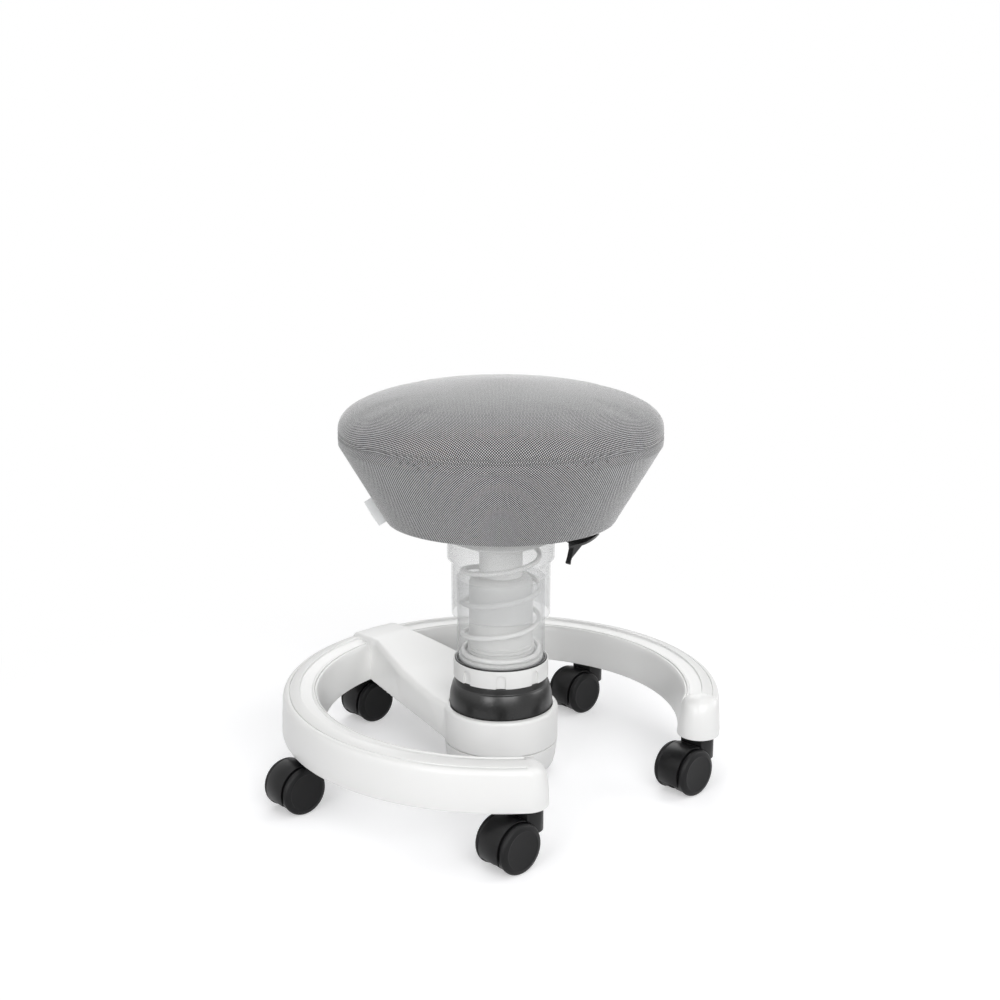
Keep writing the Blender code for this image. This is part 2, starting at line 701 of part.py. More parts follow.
def make_hub_cup():
    """The cup below the hub, with a lip that enters its bore."""
    lip = HUB_BORE_R - GAP
    top = HUB_LOW - GAP
    outside = [(0, CUP_LOW), (CUP_FOOT_R - CUP_WALL, CUP_LOW), (CUP_FOOT_R, CUP_FOOT_Z),
               (CUP_MIDDLE_R, CUP_MIDDLE_Z), (CUP_TOP_R, top), (lip, top), (lip, HUB_LOW + CUP_LIP)]
    inside = [(lip - CUP_WALL, HUB_LOW + CUP_LIP), (lip - CUP_WALL, top - CUP_WALL),
              (CUP_MIDDLE_R - CUP_WALL, CUP_MIDDLE_Z), (CUP_FOOT_R - CUP_WALL, CUP_LOW + CUP_WALL),
              (0, CUP_LOW + CUP_WALL)]
    return turned("hub_cup", outside + inside, COLUMN_FACETS)


def make_rubber_core():
    """The rubber ring that holds the pillar's tail in the hub."""
    outline = band(TAIL_R + GAP, HUB_BORE_R - GAP, CORE_LOW, CORE_TOP)
    return turned("rubber_core", outline, COLUMN_FACETS)


def dome_arc(radius, low, high):
    """The dome's round side between two heights, from the top down."""
    start = math.asin((high - PIVOT_Z) / radius)
    end = math.asin((low - PIVOT_Z) / radius)
    return arc(0, PIVOT_Z, radius, start, end, DOME_STEPS)


def make_rubber_dome():
    """The black dome: a neck round the flange, and a ball-shaped skirt in the hub."""
    neck_top = FLANGE_LOW - GAP
    shoulder = PIVOT_Z + math.sqrt((DOME_R - DOME_WALL / 2) ** 2 - DOME_NECK_R ** 2)
    inner_r = DOME_R - DOME_WALL
    outside = [(PILLAR_R + GAP, neck_top), (DOME_NECK_R, neck_top), (DOME_NECK_R, DOME_NECK_Z)]
    outside += dome_arc(DOME_R, DOME_LOW, shoulder)
    inside = list(reversed(dome_arc(inner_r, DOME_LOW, shoulder - DOME_WALL)))
    inside.append((PILLAR_R + GAP, neck_top - 2 * DOME_WALL))
    return turned("rubber_dome", outside + inside, COLUMN_FACETS)


def make_pillar_tube():
    """The fixed strut tube: ribs, a step for the spring seat, a flange and the tail."""
    outside = [(PILLAR_R, PILLAR_TOP)]
    half = PILLAR_RIB_PITCH / 4
    for rib in reversed(range(PILLAR_RIBS)):
        middle = PILLAR_RIB_LOW + PILLAR_RIB_PITCH * rib
        outside += [(PILLAR_R, middle + 2 * half), (PILLAR_RIB_R, middle)]
    outside += [(PILLAR_R, PILLAR_RIB_LOW - 2 * half), (PILLAR_R, PILLAR_STEP_Z)]
    outside += [(PILLAR_STEP_R, PILLAR_STEP_Z), (PILLAR_STEP_R, FLANGE_LOW + FLANGE_TALL)]
    outside += [(FLANGE_R, FLANGE_LOW + FLANGE_TALL), (FLANGE_R, FLANGE_LOW), (PILLAR_R, FLANGE_LOW)]
    bend = FLANGE_LOW - GAP - 2 * DOME_WALL
    outside += [(PILLAR_R, bend), (TAIL_R, TAIL_TOP), (TAIL_R, TAIL_LOW), (0, TAIL_LOW)]
    inner = TAIL_R - TAIL_WALL
    inside = [(0, TAIL_LOW + TAIL_WALL), (inner, TAIL_LOW + TAIL_WALL), (inner, TAIL_TOP),
              (PILLAR_R - PILLAR_WALL, FLANGE_LOW), (PILLAR_R - PILLAR_WALL, PILLAR_TOP)]
    return turned("pillar_tube", outside + inside, COLUMN_FACETS)


def make_guide_cap():
    """The round-shouldered cap that guides the gas tube on top of the pillar."""
    hole = GAS_TUBE_R + GAP
    spigot = PILLAR_R - PILLAR_WALL - GAP
    shoulder = arc(PILLAR_R - CAP_ROUND, CAP_TOP - CAP_ROUND, CAP_ROUND, math.pi / 2, 0, CAP_ROUND_STEPS)
    foot = CAP_LOW - CAP_SPIGOT
    outline = [(hole, CAP_TOP)] + shoulder + [(PILLAR_R, CAP_LOW), (spigot, CAP_LOW), (spigot, foot)]
    outline += [(spigot - CAP_WALL, foot), (spigot - CAP_WALL, CAP_TOP - CAP_GUIDE)]
    outline.append((hole, CAP_TOP - CAP_GUIDE))
    return turned("guide_cap", outline, COLUMN_FACETS)


def make_lower_spring_seat():
    """The washer that the spring stands on."""
    outline = band(PILLAR_R + GAP, LOWER_SEAT_R, LOWER_SEAT_LOW, LOWER_SEAT_TOP)
    return turned("lower_spring_seat", outline, COLUMN_FACETS)


def arched_cut(turn):
    """One arched recess of the lock ring, as a cutter."""
    straight = NOTCH_TOP - NOTCH_HALF
    outline = [(-NOTCH_HALF, FLANGE_LOW - OVERRUN), (NOTCH_HALF, FLANGE_LOW - OVERRUN)]
    outline += arc(0, straight, NOTCH_HALF, 0, math.pi, 4)
    cut = prism("notch", outline, LOCK_R - NOTCH_DEPTH, LOCK_R + OVERRUN, along_y=True)
    return moved(cut, (0, 0, 0), Matrix.Rotation(turn - math.pi / 2, 4, "Z"))


def make_lock_ring():
    """The white ring that locks the strut into the dome, with finger recesses."""
    lip = LOCK_TOP - LOCK_LIP_TALL
    outline = [(LOCK_INNER_R, FLANGE_LOW), (LOCK_R, FLANGE_LOW), (LOCK_R, LOCK_TOP - LOCK_ROUND),
               (LOCK_R - LOCK_ROUND, LOCK_TOP), (LOCK_LIP_R, LOCK_TOP), (LOCK_LIP_R, lip),
               (LOCK_INNER_R, lip)]
    ring = turned("lock_ring", outline, COLUMN_FACETS)
    turns = [NOTCH_TURN + math.tau * number / NOTCH_COUNT for number in range(NOTCH_COUNT)]
    return shaped(ring, [arched_cut(turn) for turn in turns], "DIFFERENCE")


def make_seal_ring():
    """The black seal between the lock ring and the lower dust tube."""
    low = LOCK_TOP - LOCK_LIP_TALL + GAP
    outline = band(LOWER_TUBE_R + GAP, SEAL_R, low, LOCK_TOP + SEAL_PROUD)
    return turned("seal_ring", outline, COLUMN_FACETS)


def make_lower_dust_tube():
    """The clear tube that stands on the pillar's flange."""
    outline = band(LOWER_TUBE_R - TUBE_WALL, LOWER_TUBE_R, TUBE_FOOT, LOWER_TUBE_TOP)
    return turned("lower_dust_tube", outline, COLUMN_FACETS)


def make_upper_dust_tube():
    """The clear tube that comes down over the lower one, with a wider collar."""
    outside = [(UPPER_TUBE_R, UPPER_TUBE_LOW), (UPPER_TUBE_R, COLLAR_LOW), (COLLAR_R, COLLAR_FULL),
               (COLLAR_R, UPPER_SEAT_TOP)]
    inside = [(radius - TUBE_WALL, height) for radius, height in reversed(outside)]
    return turned("upper_dust_tube", outside + inside, COLUMN_FACETS)


def spring_height(turns):
    """Height of the wire's middle: a dead coil, an even climb, and a dead coil."""
    climb = (SPRING_HIGH - SPRING_LOW) / SPRING_PITCH
    start = turns - SPRING_LIFT_OFF
    end = climb + SPRING_EASE
    if start <= 0:
        return SPRING_LOW
    if start < SPRING_EASE:
        return SPRING_LOW + SPRING_PITCH * start ** 2 / (2 * SPRING_EASE)
    if start < end - SPRING_EASE:
        return SPRING_LOW + SPRING_PITCH * (start - SPRING_EASE / 2)
    if start < end:
        return SPRING_HIGH - SPRING_PITCH * (end - start) ** 2 / (2 * SPRING_EASE)
    return SPRING_HIGH


def spring_points():
    """The wire's middle line, with one straight point past each end."""
    last = SPRING_LIFT_OFF + (SPRING_HIGH - SPRING_LOW) / SPRING_PITCH + SPRING_EASE + SPRING_HIGH_REST
    first = -SPRING_LOW_REST
    steps = round((last - first) * SPRING_POINTS)
    points = []
    for step in range(steps + 1):
        turns = first + (last - first) * step / steps
        angle = SPRING_FRONT + math.tau * turns
        points.append(Vector((SPRING_R * math.cos(angle), SPRING_R * math.sin(angle), spring_height(turns))))
    for end, inward in ((0, 1), (-1, -2)):
        across = Vector((-points[end].y, points[end].x, 0)).normalized()
        way = across if (points[end] - points[inward]).dot(across) > 0 else -across
        straight = points[end] + way * 2 * SPRING_WIRE_R
        points.insert(0 if end == 0 else len(points), straight)
    return points


def least_gap(points):
    """Least clear distance between the wire's turns, measured point to line."""
    apart = SPRING_POINTS // 2
    least = math.inf
    for index, point in enumerate(points):
        for start in range(index + apart, len(points) - 1):
            one, two = points[start], points[start + 1]
            share = max(0, min(1, (point - one).dot(two - one) / (two - one).length_squared))
            least = min(least, (point - one.lerp(two, share)).length)
    return least - 2 * SPRING_WIRE_R


def make_coil_spring():
    """The spring: one unbroken wire."""
    points = spring_points()
    curve = bpy.data.curves.new("coil_spring", "CURVE")
    curve.dimensions = "3D"
    curve.bevel_depth = SPRING_WIRE_R
    curve.bevel_resolution = 1
    curve.use_fill_caps = True
    line = curve.splines.new("POLY")
    line.points.add(len(points) - 1)
    for spot, point in zip(line.points, points):
        spot.co = (*point, 1)
    print(f"coil_spring: least gap to itself {1000 * least_gap(points):.2f} mm")
    spring = bpy.data.objects.new("coil_spring", curve)
    bpy.context.scene.collection.objects.link(spring)
    return spring


def make_upper_spring_seat():
    """The disc that the spring pushes up against, inside the collar."""
    outer = COLLAR_R - TUBE_WALL - GAP
    outline = band(GAS_TUBE_R + GAP, outer, UPPER_SEAT_LOW, UPPER_SEAT_TOP)
    return turned("upper_spring_seat", outline, COLUMN_FACETS)


def make_gas_tube():
    """The guide tube of the gas lift, with the floor that its rod is clipped to."""
    inner = GAS_TUBE_R - GAS_TUBE_WALL
    hole = ROD_R + GAP
    outline = [(hole, GAS_TUBE_LOW), (GAS_TUBE_R, GAS_TUBE_LOW), (GAS_TUBE_R, GAS_TUBE_TOP),
               (inner, GAS_TUBE_TOP), (inner, GAS_TUBE_LOW + GAS_FLOOR), (hole, GAS_TUBE_LOW + GAS_FLOOR)]
    return turned("gas_tube", outline, COLUMN_FACETS)


def make_gas_guide_bush():
    """The plastic sleeve that the cylinder slides in."""
    outline = band(CYLINDER_R + GAP, GAS_TUBE_R - GAS_TUBE_WALL - GAP, BUSH_LOW, GAS_TUBE_TOP)
    return turned("gas_guide_bush", outline, COLUMN_FACETS)


def make_thrust_bearing():
    """The bearing that the seat turns on, at the foot of the rod."""
    outline = band(ROD_R + GAP, ROD_R + BEARING_WIDE, BEARING_LOW, BEARING_LOW + BEARING_TALL)
    return turned("thrust_bearing", outline, INNER_FACETS)


def make_piston_rod():
    """The rod, its shoulder on the bearing and the piston on its end."""
    piston = CYLINDER_BORE_R - PISTON_CLEAR
    top = PISTON_LOW + PISTON_TALL
    foot = CLIP_LOW - ROD_TIP
    shoulder = ROD_R + ROD_SHOULDER_WIDE
    outline = [(0, foot), (ROD_R, foot), (ROD_R, SHOULDER_LOW), (shoulder, SHOULDER_LOW),
               (shoulder, SHOULDER_LOW + ROD_SHOULDER), (ROD_R, SHOULDER_LOW + ROD_SHOULDER),
               (ROD_R, PISTON_LOW), (piston, PISTON_LOW), (piston, top), (0, top)]
    return turned("piston_rod", outline, INNER_FACETS)


def make_rod_clip():
    """The clip that keeps the rod in the gas tube's floor."""
    outline = band(ROD_R + GAP, ROD_R + CLIP_WIDE, CLIP_LOW, CLIP_LOW + CLIP_TALL)
    return turned("rod_clip", outline, INNER_FACETS)


def make_gas_cylinder():
    """The lift's cylinder, bored for the piston and open at both necks."""
    neck = ROD_R + GAP
    pin = VALVE_R + GAP
    floor = CYLINDER_LOW + CYLINDER_FLOOR
    outline = [(neck, CYLINDER_LOW), (CYLINDER_R, CYLINDER_LOW), (CYLINDER_R, CYLINDER_STEP),
               (CYLINDER_TIP_R, CYLINDER_STEP), (CYLINDER_TIP_R, CYLINDER_TOP), (pin, CYLINDER_TOP),
               (pin, CYLINDER_BORE_TOP), (CYLINDER_BORE_R, CYLINDER_BORE_TOP), (CYLINDER_BORE_R, floor),
               (neck, floor)]
    return turned("gas_cylinder", outline, INNER_FACETS)


def make_valve_pin():
    """The pin that the lever pushes to free the lift."""
    return disc("valve_pin", VALVE_R, VALVE_LOW, VALVE_TOP, SMALL_FACETS)


def lever_pin_bar(radius, half_length):
    """A bar along X on the lever's axis."""
    bar = disc("bar", radius, -half_length, half_length, SMALL_FACETS)
    return moved(bar, (0, LEVER_Y, LEVER_Z), Matrix.Rotation(math.pi / 2, 4, "Y"))


def seat_screw_places():
    """Where the four seat screws stand."""
    return [(side * SEAT_SCREW_SPREAD, end * SEAT_SCREW_SPREAD) for side in (-1, 1) for end in (-1, 1)]


def make_seat_plate():
    """The steel plate: a socket on the cylinder, and two ears for the lever's pin."""
    flat = PLATE_HALF - PLATE_CORNER
    outline = []
    for number, (side, end) in enumerate(((1, 1), (-1, 1), (-1, -1), (1, -1))):
        start = number * math.pi / 2
        outline += arc(side * flat, end * flat, PLATE_CORNER, start, start + math.pi / 2, 3)
    plate = prism("seat_plate", outline, PLATE_LOW, PLATE_TOP)
    joined = [disc("socket", SOCKET_R, SOCKET_LOW, PLATE_LOW + PLATE_TALL / 2, COLUMN_FACETS)]
    for side in (-1, 1):
        inside = side * EAR_INSIDE
        outside = side * (EAR_INSIDE + EAR_THICK)
        corners = [(inside, LEVER_Y - EAR_HALF), (outside, LEVER_Y - EAR_HALF),
                   (outside, LEVER_Y + EAR_HALF), (inside, LEVER_Y + EAR_HALF)]
        joined.append(prism("ear", corners, EAR_LOW, PLATE_LOW + PLATE_TALL / 2))
    shaped(plate, joined, "UNION")
    cuts = [disc("bore", CYLINDER_TIP_R + GAP, SOCKET_LOW - OVERRUN, PLATE_LOW, COLUMN_FACETS)]
    slot = [(-SLOT_HALF, 0), (-SLOT_HALF, -SOCKET_R - OVERRUN), (SLOT_HALF, -SOCKET_R - OVERRUN),
            (SLOT_HALF, 0)]
    cuts.append(prism("slot", slot, SLOT_LOW, PLATE_LOW))
    cuts.append(lever_pin_bar(PIN_R + GAP, PIN_HALF + OVERRUN))
    for place in seat_screw_places():
        hole = disc("hole", SCREW_R + GAP, PLATE_LOW - OVERRUN, PLATE_TOP + OVERRUN, SMALL_FACETS)
        cuts.append(moved(hole, (*place, 0)))
    return shaped(plate, cuts, "DIFFERENCE")


def make_lever_pin():
    """The pin through the ears and the lever."""
    pin = lever_pin_bar(PIN_R, PIN_HALF)
    pin.name = "lever_pin"
    return pin


def paddle_section(angle, inner, outer, low, high):
    """A cross-section of the paddle at one angle about the column."""
    spots = [(inner, low), (outer, low), (outer, high), (inner, high)]
    return [(radius * math.cos(angle), radius * math.sin(angle), height) for radius, height in spots]


def make_lever():
    """The lever: a tip over the valve, a cranked bar, and a paddle with a fin below the rim."""
    half = LEVER_THICK / 2
    bar_top = LEVER_BAR_TOP - LEVER_BAR_INSET
    bar_low = LEVER_BAR_LOW + LEVER_BAR_INSET
    bar_end = FIN_THICK - PADDLE_OUTER_R
    middle = (LEVER_Y - PADDLE_INNER_R) / 2
    knee = (LEVER_Z + LEVER_BAR_LOW) / 2 + half
    tip_top = LEVER_TIP_LOW + LEVER_TIP_THICK
    upper = [(LEVER_TIP_PAST, tip_top), (-SOCKET_R, tip_top), (LEVER_Y + half, LEVER_Z + half),
             (LEVER_Y - half, LEVER_Z + half), (middle, knee + half), (-PADDLE_INNER_R, bar_top),
             (bar_end, bar_top)]
    lower = [(bar_end, bar_low), (-PADDLE_INNER_R, bar_low), (middle, knee - half),
             (LEVER_Y - half, LEVER_Z - half), (LEVER_Y + half, LEVER_Z - half),
             (-SOCKET_R, LEVER_TIP_LOW - LEVER_TIP_THICK), (-CYLINDER_BORE_R, LEVER_TIP_LOW),
             (LEVER_TIP_PAST, LEVER_TIP_LOW)]
    lever = prism("lever", [(-across, height) for across, height in upper + lower], -LEVER_HALF, LEVER_HALF,
                  along_y=True)
    moved(lever, (0, 0, 0), Matrix.Rotation(-math.pi / 2, 4, "Z"))
    sweep = PADDLE_TO - PADDLE_FROM
    paddle = []
    for step in range(PADDLE_STEPS + 1):
        angle = PADDLE_FROM + sweep * step / PADDLE_STEPS
        paddle.append(paddle_section(angle, PADDLE_INNER_R, PADDLE_OUTER_R, LEVER_BAR_LOW, LEVER_BAR_TOP))
    fin = []
    fin_top = LEVER_BAR_TOP - LEVER_BAR_TALL / 4
    for along, drop in FIN_SHARES:
        low = LEVER_BAR_LOW - FIN_TALL * drop
        angle = PADDLE_FROM + sweep * along
        fin.append(paddle_section(angle, FIN_OUTER_R - FIN_THICK, FIN_OUTER_R, low, fin_top))
    shaped(lever, [lofted("paddle", paddle), lofted("fin", fin)], "UNION")
    return shaped(lever, [lever_pin_bar(PIN_R + GAP, PIN_HALF)], "DIFFERENCE")


def cone_radius(height, inset=0.0):
    """Radius of the seat's lower side at a height, inset square to its slope."""
    return CONE_LOW_R + CONE_SLOPE * (height - CONE_LOW_Z) - CONE_SECANT * inset


def seat_crown(inset):
    """The seat's upper outline from its flat top down to the top of the cone."""
    side = CONE_SECANT * inset
    rise = CROWN_Z - inset - WIDEST_Z
    points = [(CROWN_FLAT_R, CROWN_Z - inset)]
    for turn in CROWN_TURNS:
        radius = (WIDEST_R - side) * math.cos(turn) ** CROWN_SIDE_POWER
        points.append((radius, WIDEST_Z + rise * math.sin(turn) ** CROWN_RISE_POWER))
    return points + [(WIDEST_R - side, WIDEST_Z)]


def make_seat_cover():
    """The fabric cover: one seamed skin with a hem turned in below the pan."""
    seam = [(WIDEST_R, SEAM_Z + SEAM_HALF), (WIDEST_R - SEAM_DEPTH, SEAM_Z), (WIDEST_R, SEAM_Z - SEAM_HALF)]
    hem = arc(CONE_LOW_R - HEM_ROUND, HEM_LOW + HEM_ROUND, HEM_ROUND, 0, -math.pi / 2, 2)
    outside = [(0, CROWN_Z)] + seat_crown(0)[:-1] + seam + [(CONE_TOP_R, CONE_TOP_Z)] + hem
    inside = [(HEM_INNER_R, HEM_LOW), (HEM_INNER_R, HEM_TOP), (cone_radius(HEM_TOP, COVER_THICK), HEM_TOP),
              (cone_radius(CONE_TOP_Z, COVER_THICK), CONE_TOP_Z)]
    inside += list(reversed(seat_crown(COVER_THICK))) + [(0, CROWN_Z - COVER_THICK)]
    return turned("seat_cover", outside + inside, SEAT_FACETS)


def pan_radius(height, inset=0.0):
    """Outer radius of the pan's wall at a height."""
    return cone_radius(height) - PAN_INSET - inset


def make_seat_shell():
    """The plastic pan: a floor and a flared wall that also runs down as a skirt."""
    floor_top = PAN_FLOOR + PAN_FLOOR_TALL
    outline = [(0, PAN_FLOOR), (pan_radius(PAN_FLOOR, PAN_WALL), PAN_FLOOR),
               (pan_radius(PAN_LOW, PAN_WALL), PAN_LOW), (pan_radius(PAN_LOW), PAN_LOW),
               (pan_radius(PAN_TOP), PAN_TOP), (pan_radius(PAN_TOP, PAN_WALL), PAN_TOP),
               (pan_radius(floor_top, PAN_WALL), floor_top), (0, floor_top)]
    shell = turned("seat_shell", outline, SEAT_FACETS)
    cuts = []
    for place in seat_screw_places():
        hole = disc("hole", SCREW_R + GAP, PAN_FLOOR - OVERRUN, floor_top + OVERRUN, SMALL_FACETS)
        cuts.append(moved(hole, (*place, 0)))
    return shaped(shell, cuts, "DIFFERENCE")


def make_seat_foam():
    """The foam pad: it fills the pan, laps over its wall and fills the cover."""
    skin = COVER_THICK + GAP
    floor_top = PAN_FLOOR + PAN_FLOOR_TALL + GAP
    over = PAN_TOP + GAP
    outline = [(0, floor_top), (pan_radius(floor_top, PAN_WALL + GAP), floor_top),
               (pan_radius(over, PAN_WALL + GAP), over), (pan_radius(over, -GAP), over),
               (pan_radius(PAN_LOW, -GAP), PAN_LOW), (cone_radius(PAN_LOW, skin), PAN_LOW),
               (cone_radius(CONE_TOP_Z, skin), CONE_TOP_Z)]
    outline += list(reversed(seat_crown(skin))) + [(0, CROWN_Z - skin)]
    return turned("seat_foam", outline, SEAT_FACETS)


def make_cover_tag():
    """The bare woven tag that stands out of the cover's side."""
    outline = []
    for height, out in ((TAG_LOW, 0), (TAG_LOW, TAG_WIDE), (TAG_TOP, TAG_WIDE), (TAG_TOP, 0)):
        outline.append((cone_radius(height) + GAP + out, height))
    tag = prism("cover_tag", outline, -TAG_THICK / 2, TAG_THICK / 2, along_y=True)
    return moved(tag, (0, 0, 0), Matrix.Rotation(TAG_TURN, 4, "Z"))


def screw_outline(length):
    """A pan-head screw: its head below zero, its shank above."""
    return [(0, -SCREW_HEAD_TALL), (SCREW_HEAD_R / 2, -SCREW_HEAD_TALL), (SCREW_HEAD_R, -SCREW_HEAD_TALL / 2),
            (SCREW_HEAD_R, 0), (SCREW_R, 0), (SCREW_R, length), (0, length)]


def make_seat_screws():
    """Four screws that hold the pan on the plate."""
    screws = []
    length = PAN_FLOOR + PAN_FLOOR_TALL - PLATE_LOW
    for number, place in enumerate(seat_screw_places(), 1):
        screw = turned(f"seat_screw_{number}", screw_outline(length), SMALL_FACETS)
        screws.append(moved(screw, (*place, PLATE_LOW - GAP)))
    return screws


def make_arm_screws():
    """Two screws that hold the arm on the ring."""
    screws = []
    head = ARM_END - GAP
    outline = screw_outline(arm_screw_end() - head)
    for number, side in enumerate((-1, 1), 1):
        screw = turned(f"arm_screw_{number}", outline, SMALL_FACETS, along_y=True)
        screws.append(moved(screw, (side * ARM_SCREW_SPREAD, head, ARM_SCREW_Z)))
    return screws


def make_hood():
    """A castor's hood about its stem: the wheel guard, the web, and the boss for the stem."""
    guard = arc(-TRAIL, WHEEL_R, HOOD_R, HOOD_FRONT, HOOD_BACK, HOOD_STEPS)
    guard += arc(-TRAIL, WHEEL_R, HOOD_INNER_R, HOOD_BACK, HOOD_FRONT, HOOD_STEPS)
    hood = prism("hood", guard, -HOOD_HALF, HOOD_HALF, along_y=True)
    joint_r = (HOOD_INNER_R + HOOD_R) / 2
    front = HOOD_FRONT + WEB_SETBACK
    back = HOOD_BACK - WEB_SETBACK
    web = arc(-TRAIL, WHEEL_R, joint_r, front, back, HOOD_STEPS)
    web += arc(-TRAIL, WHEEL_R, WEB_HUB_R, back, math.tau + front, HOOD_STEPS // 2)
    nose = arc(BOSS_NOSE, 0, BOSS_HALF, -math.pi / 2, math.pi / 2, BOSS_STEPS)
    plan = nose + [(-BOSS_BACK, BOSS_HALF), (-BOSS_BACK, -BOSS_HALF)]
    boss = prism("boss", plan, BOSS_LOW, BOSS_TOP)
    wheel_space = disc("space", joint_r, -BOSS_HALF - OVERRUN, BOSS_HALF + OVERRUN, WHEEL_FACETS)
    moved(wheel_space, (-TRAIL, 0, WHEEL_R), Matrix.Rotation(math.pi / 2, 4, "X"))
    shaped(boss, [wheel_space], "DIFFERENCE")
    shaped(hood, [prism("web", web, -WEB_HALF, WEB_HALF, along_y=True), boss], "UNION")
    bore = disc("bore", STEM_R + GAP, STEM_LOW - GAP, RING_LOW, INNER_FACETS)
    axle_hole = disc("axle_hole", AXLE_R + GAP, -HOOD_HALF, HOOD_HALF, INNER_FACETS)
    moved(axle_hole, (-TRAIL, 0, WHEEL_R), Matrix.Rotation(math.pi / 2, 4, "X"))
    return shaped(hood, [bore, axle_hole], "DIFFERENCE")


def make_wheel():
    """One wheel about Y: a narrow tread under the hood and a wider flange that meets the floor."""
    rim = WHEEL_R * WHEEL_FULL
    bore = (AXLE_R + GAP) * WHEEL_FULL
    flange = WHEEL_OUTER - WHEEL_FLANGE
    outline = [(0, AXLE_HALF + GAP), (bore, AXLE_HALF + GAP), (bore, WHEEL_INNER), (TREAD_R, WHEEL_INNER),
               (TREAD_R, flange), (rim, flange + TREAD_DROP), (rim, WHEEL_OUTER - WHEEL_ROUND),
               (rim - WHEEL_ROUND, WHEEL_OUTER), (0, WHEEL_OUTER)]
    return turned("wheel", outline, WHEEL_FACETS, along_y=True, half_step=True)


def copied(name, pattern, holder, place, material, turn=0.0):
    """A repeated piece: its own object on the mesh that its likes share."""
    piece = bpy.data.objects.new(name, pattern.data)
    piece.parent = holder
    piece.location = place
    piece.rotation_euler.z = turn
    bpy.context.scene.collection.objects.link(piece)
    if not pattern.data.materials:
        pattern.data.materials.append(material)
        pattern.data.shade_smooth()
        pattern.data.set_sharp_from_angle(angle=SHARP_ANGLE)
    return piece


def make_castors(stool, plastic, tyre, steel):
    """Five castors, each on an empty at its stem."""
    hood = make_hood()
    wheel = make_wheel()
    stem = disc("stem", STEM_R, STEM_LOW, STEM_TOP, INNER_FACETS)
    axle = disc("axle", AXLE_R, -AXLE_HALF, AXLE_HALF, INNER_FACETS)
    moved(axle, (0, 0, 0), Matrix.Rotation(math.pi / 2, 4, "X"))
    wheel_place = (-TRAIL, 0, WHEEL_R)
    for number, name in enumerate(CASTOR_NAMES):
        swivel = empty(f"{name}_castor", rim_point(castor_angle(number), 0, 0, -RING_LOW), stool)
        copied(f"{name}_stem", stem, swivel, (0, 0, 0), steel)
        copied(f"{name}_hood", hood, swivel, (0, 0, 0), plastic)
        copied(f"{name}_axle", axle, swivel, wheel_place, steel)
        copied(f"{name}_wheel_1", wheel, swivel, wheel_place, tyre)
        copied(f"{name}_wheel_2", wheel, swivel, wheel_place, tyre, math.pi)
    for pattern in (hood, wheel, stem, axle):
        bpy.data.objects.remove(pattern, do_unlink=True)


def build_stool():
    """Builds every piece and hangs it on the empty of its joint."""
    clear_scene()
    white = finish("white_plastic", (0.86, 0.86, 0.85), 0.35)
    black = finish("black_plastic", (0.025, 0.025, 0.027), 0.45)
    tyre = finish("wheel_plastic", (0.03, 0.03, 0.032), 0.5)
    rubber = finish("black_rubber", (0.02, 0.02, 0.02), 0.4)
    clear = finish("clear_plastic", (0.88, 0.89, 0.90), 0.12, alpha=0.3)
    grey = finish("light_grey_plastic", (0.72, 0.72, 0.71), 0.4)
    spring_steel = finish("coated_spring", (0.74, 0.74, 0.73), 0.35, metallic=0.2)
    steel = finish("steel", (0.55, 0.56, 0.58), 0.3, metallic=1.0)
    chrome = finish("chromed_tube", (0.70, 0.71, 0.72), 0.15, metallic=1.0)
    shell = finish("pan_plastic", (0.06, 0.06, 0.065), 0.6)
    foam = finish("foam", (0.70, 0.68, 0.60), 0.9)
    fabric = finish("grey_fabric", (0.33, 0.33, 0.335), 0.85)
    label = finish("label_cloth", (0.80, 0.80, 0.80), 0.8)

    stool = empty("stool", (AXIS_X, AXIS_Y, 0))
    tilt = empty("tilt_centre", (0, 0, PIVOT_Z), stool)
    lock_turn = empty("lock_turn", (0, 0, LOCK_TOP), stool)
    bounce = empty("bounce_slide", (0, 0, UPPER_SEAT_LOW), stool)
    swivel = empty("swivel_turn", (0, 0, BEARING_LOW), stool)
    lift = empty("lift_slide", (0, 0, PLATE_LOW), stool)
    lever_turn = empty("lever_turn", (0, LEVER_Y, LEVER_Z), stool)
    valve_slide = empty("valve_slide", (0, 0, VALVE_TOP), stool)

    carried(make_foot_ring(), stool, white)
    carried(make_hub_arm(), stool, white)
    carried(make_hub_cup(), stool, white)
    for screw in make_arm_screws():
        carried(screw, stool, steel)
    make_castors(stool, black, tyre, steel)

    carried(make_rubber_core(), tilt, rubber)
    carried(make_rubber_dome(), tilt, rubber)
    carried(make_pillar_tube(), tilt, grey)
    carried(make_guide_cap(), tilt, grey)
    carried(make_lower_spring_seat(), tilt, grey)
    carried(make_seal_ring(), tilt, rubber)
    carried(make_lower_dust_tube(), tilt, clear)
    carried(make_coil_spring(), tilt, spring_steel)
    carried(make_lock_ring(), lock_turn, white)

    carried(make_upper_dust_tube(), bounce, clear)
    carried(make_upper_spring_seat(), bounce, grey)
    carried(make_gas_tube(), bounce, grey)
    carried(make_gas_guide_bush(), bounce, black)
    carried(make_thrust_bearing(), bounce, steel)
    carried(make_piston_rod(), swivel, chrome)
    carried(make_rod_clip(), swivel, steel)

    carried(make_gas_cylinder(), lift, chrome)
    carried(make_seat_plate(), lift, steel)
    carried(make_lever_pin(), lift, steel)
    carried(make_seat_shell(), lift, shell)
    carried(make_seat_foam(), lift, foam)
    carried(make_seat_cover(), lift, fabric)
    carried(make_cover_tag(), lift, label)
    for screw in make_seat_screws():
        carried(screw, lift, steel)
    carried(make_lever(), lever_turn, black)
    carried(make_valve_pin(), valve_slide, steel)
    bpy.context.view_layer.update()


build_stool()
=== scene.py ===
import json
import math

import bmesh
import bpy
from mathutils import Matrix, Vector
from mathutils.kdtree import KDTree


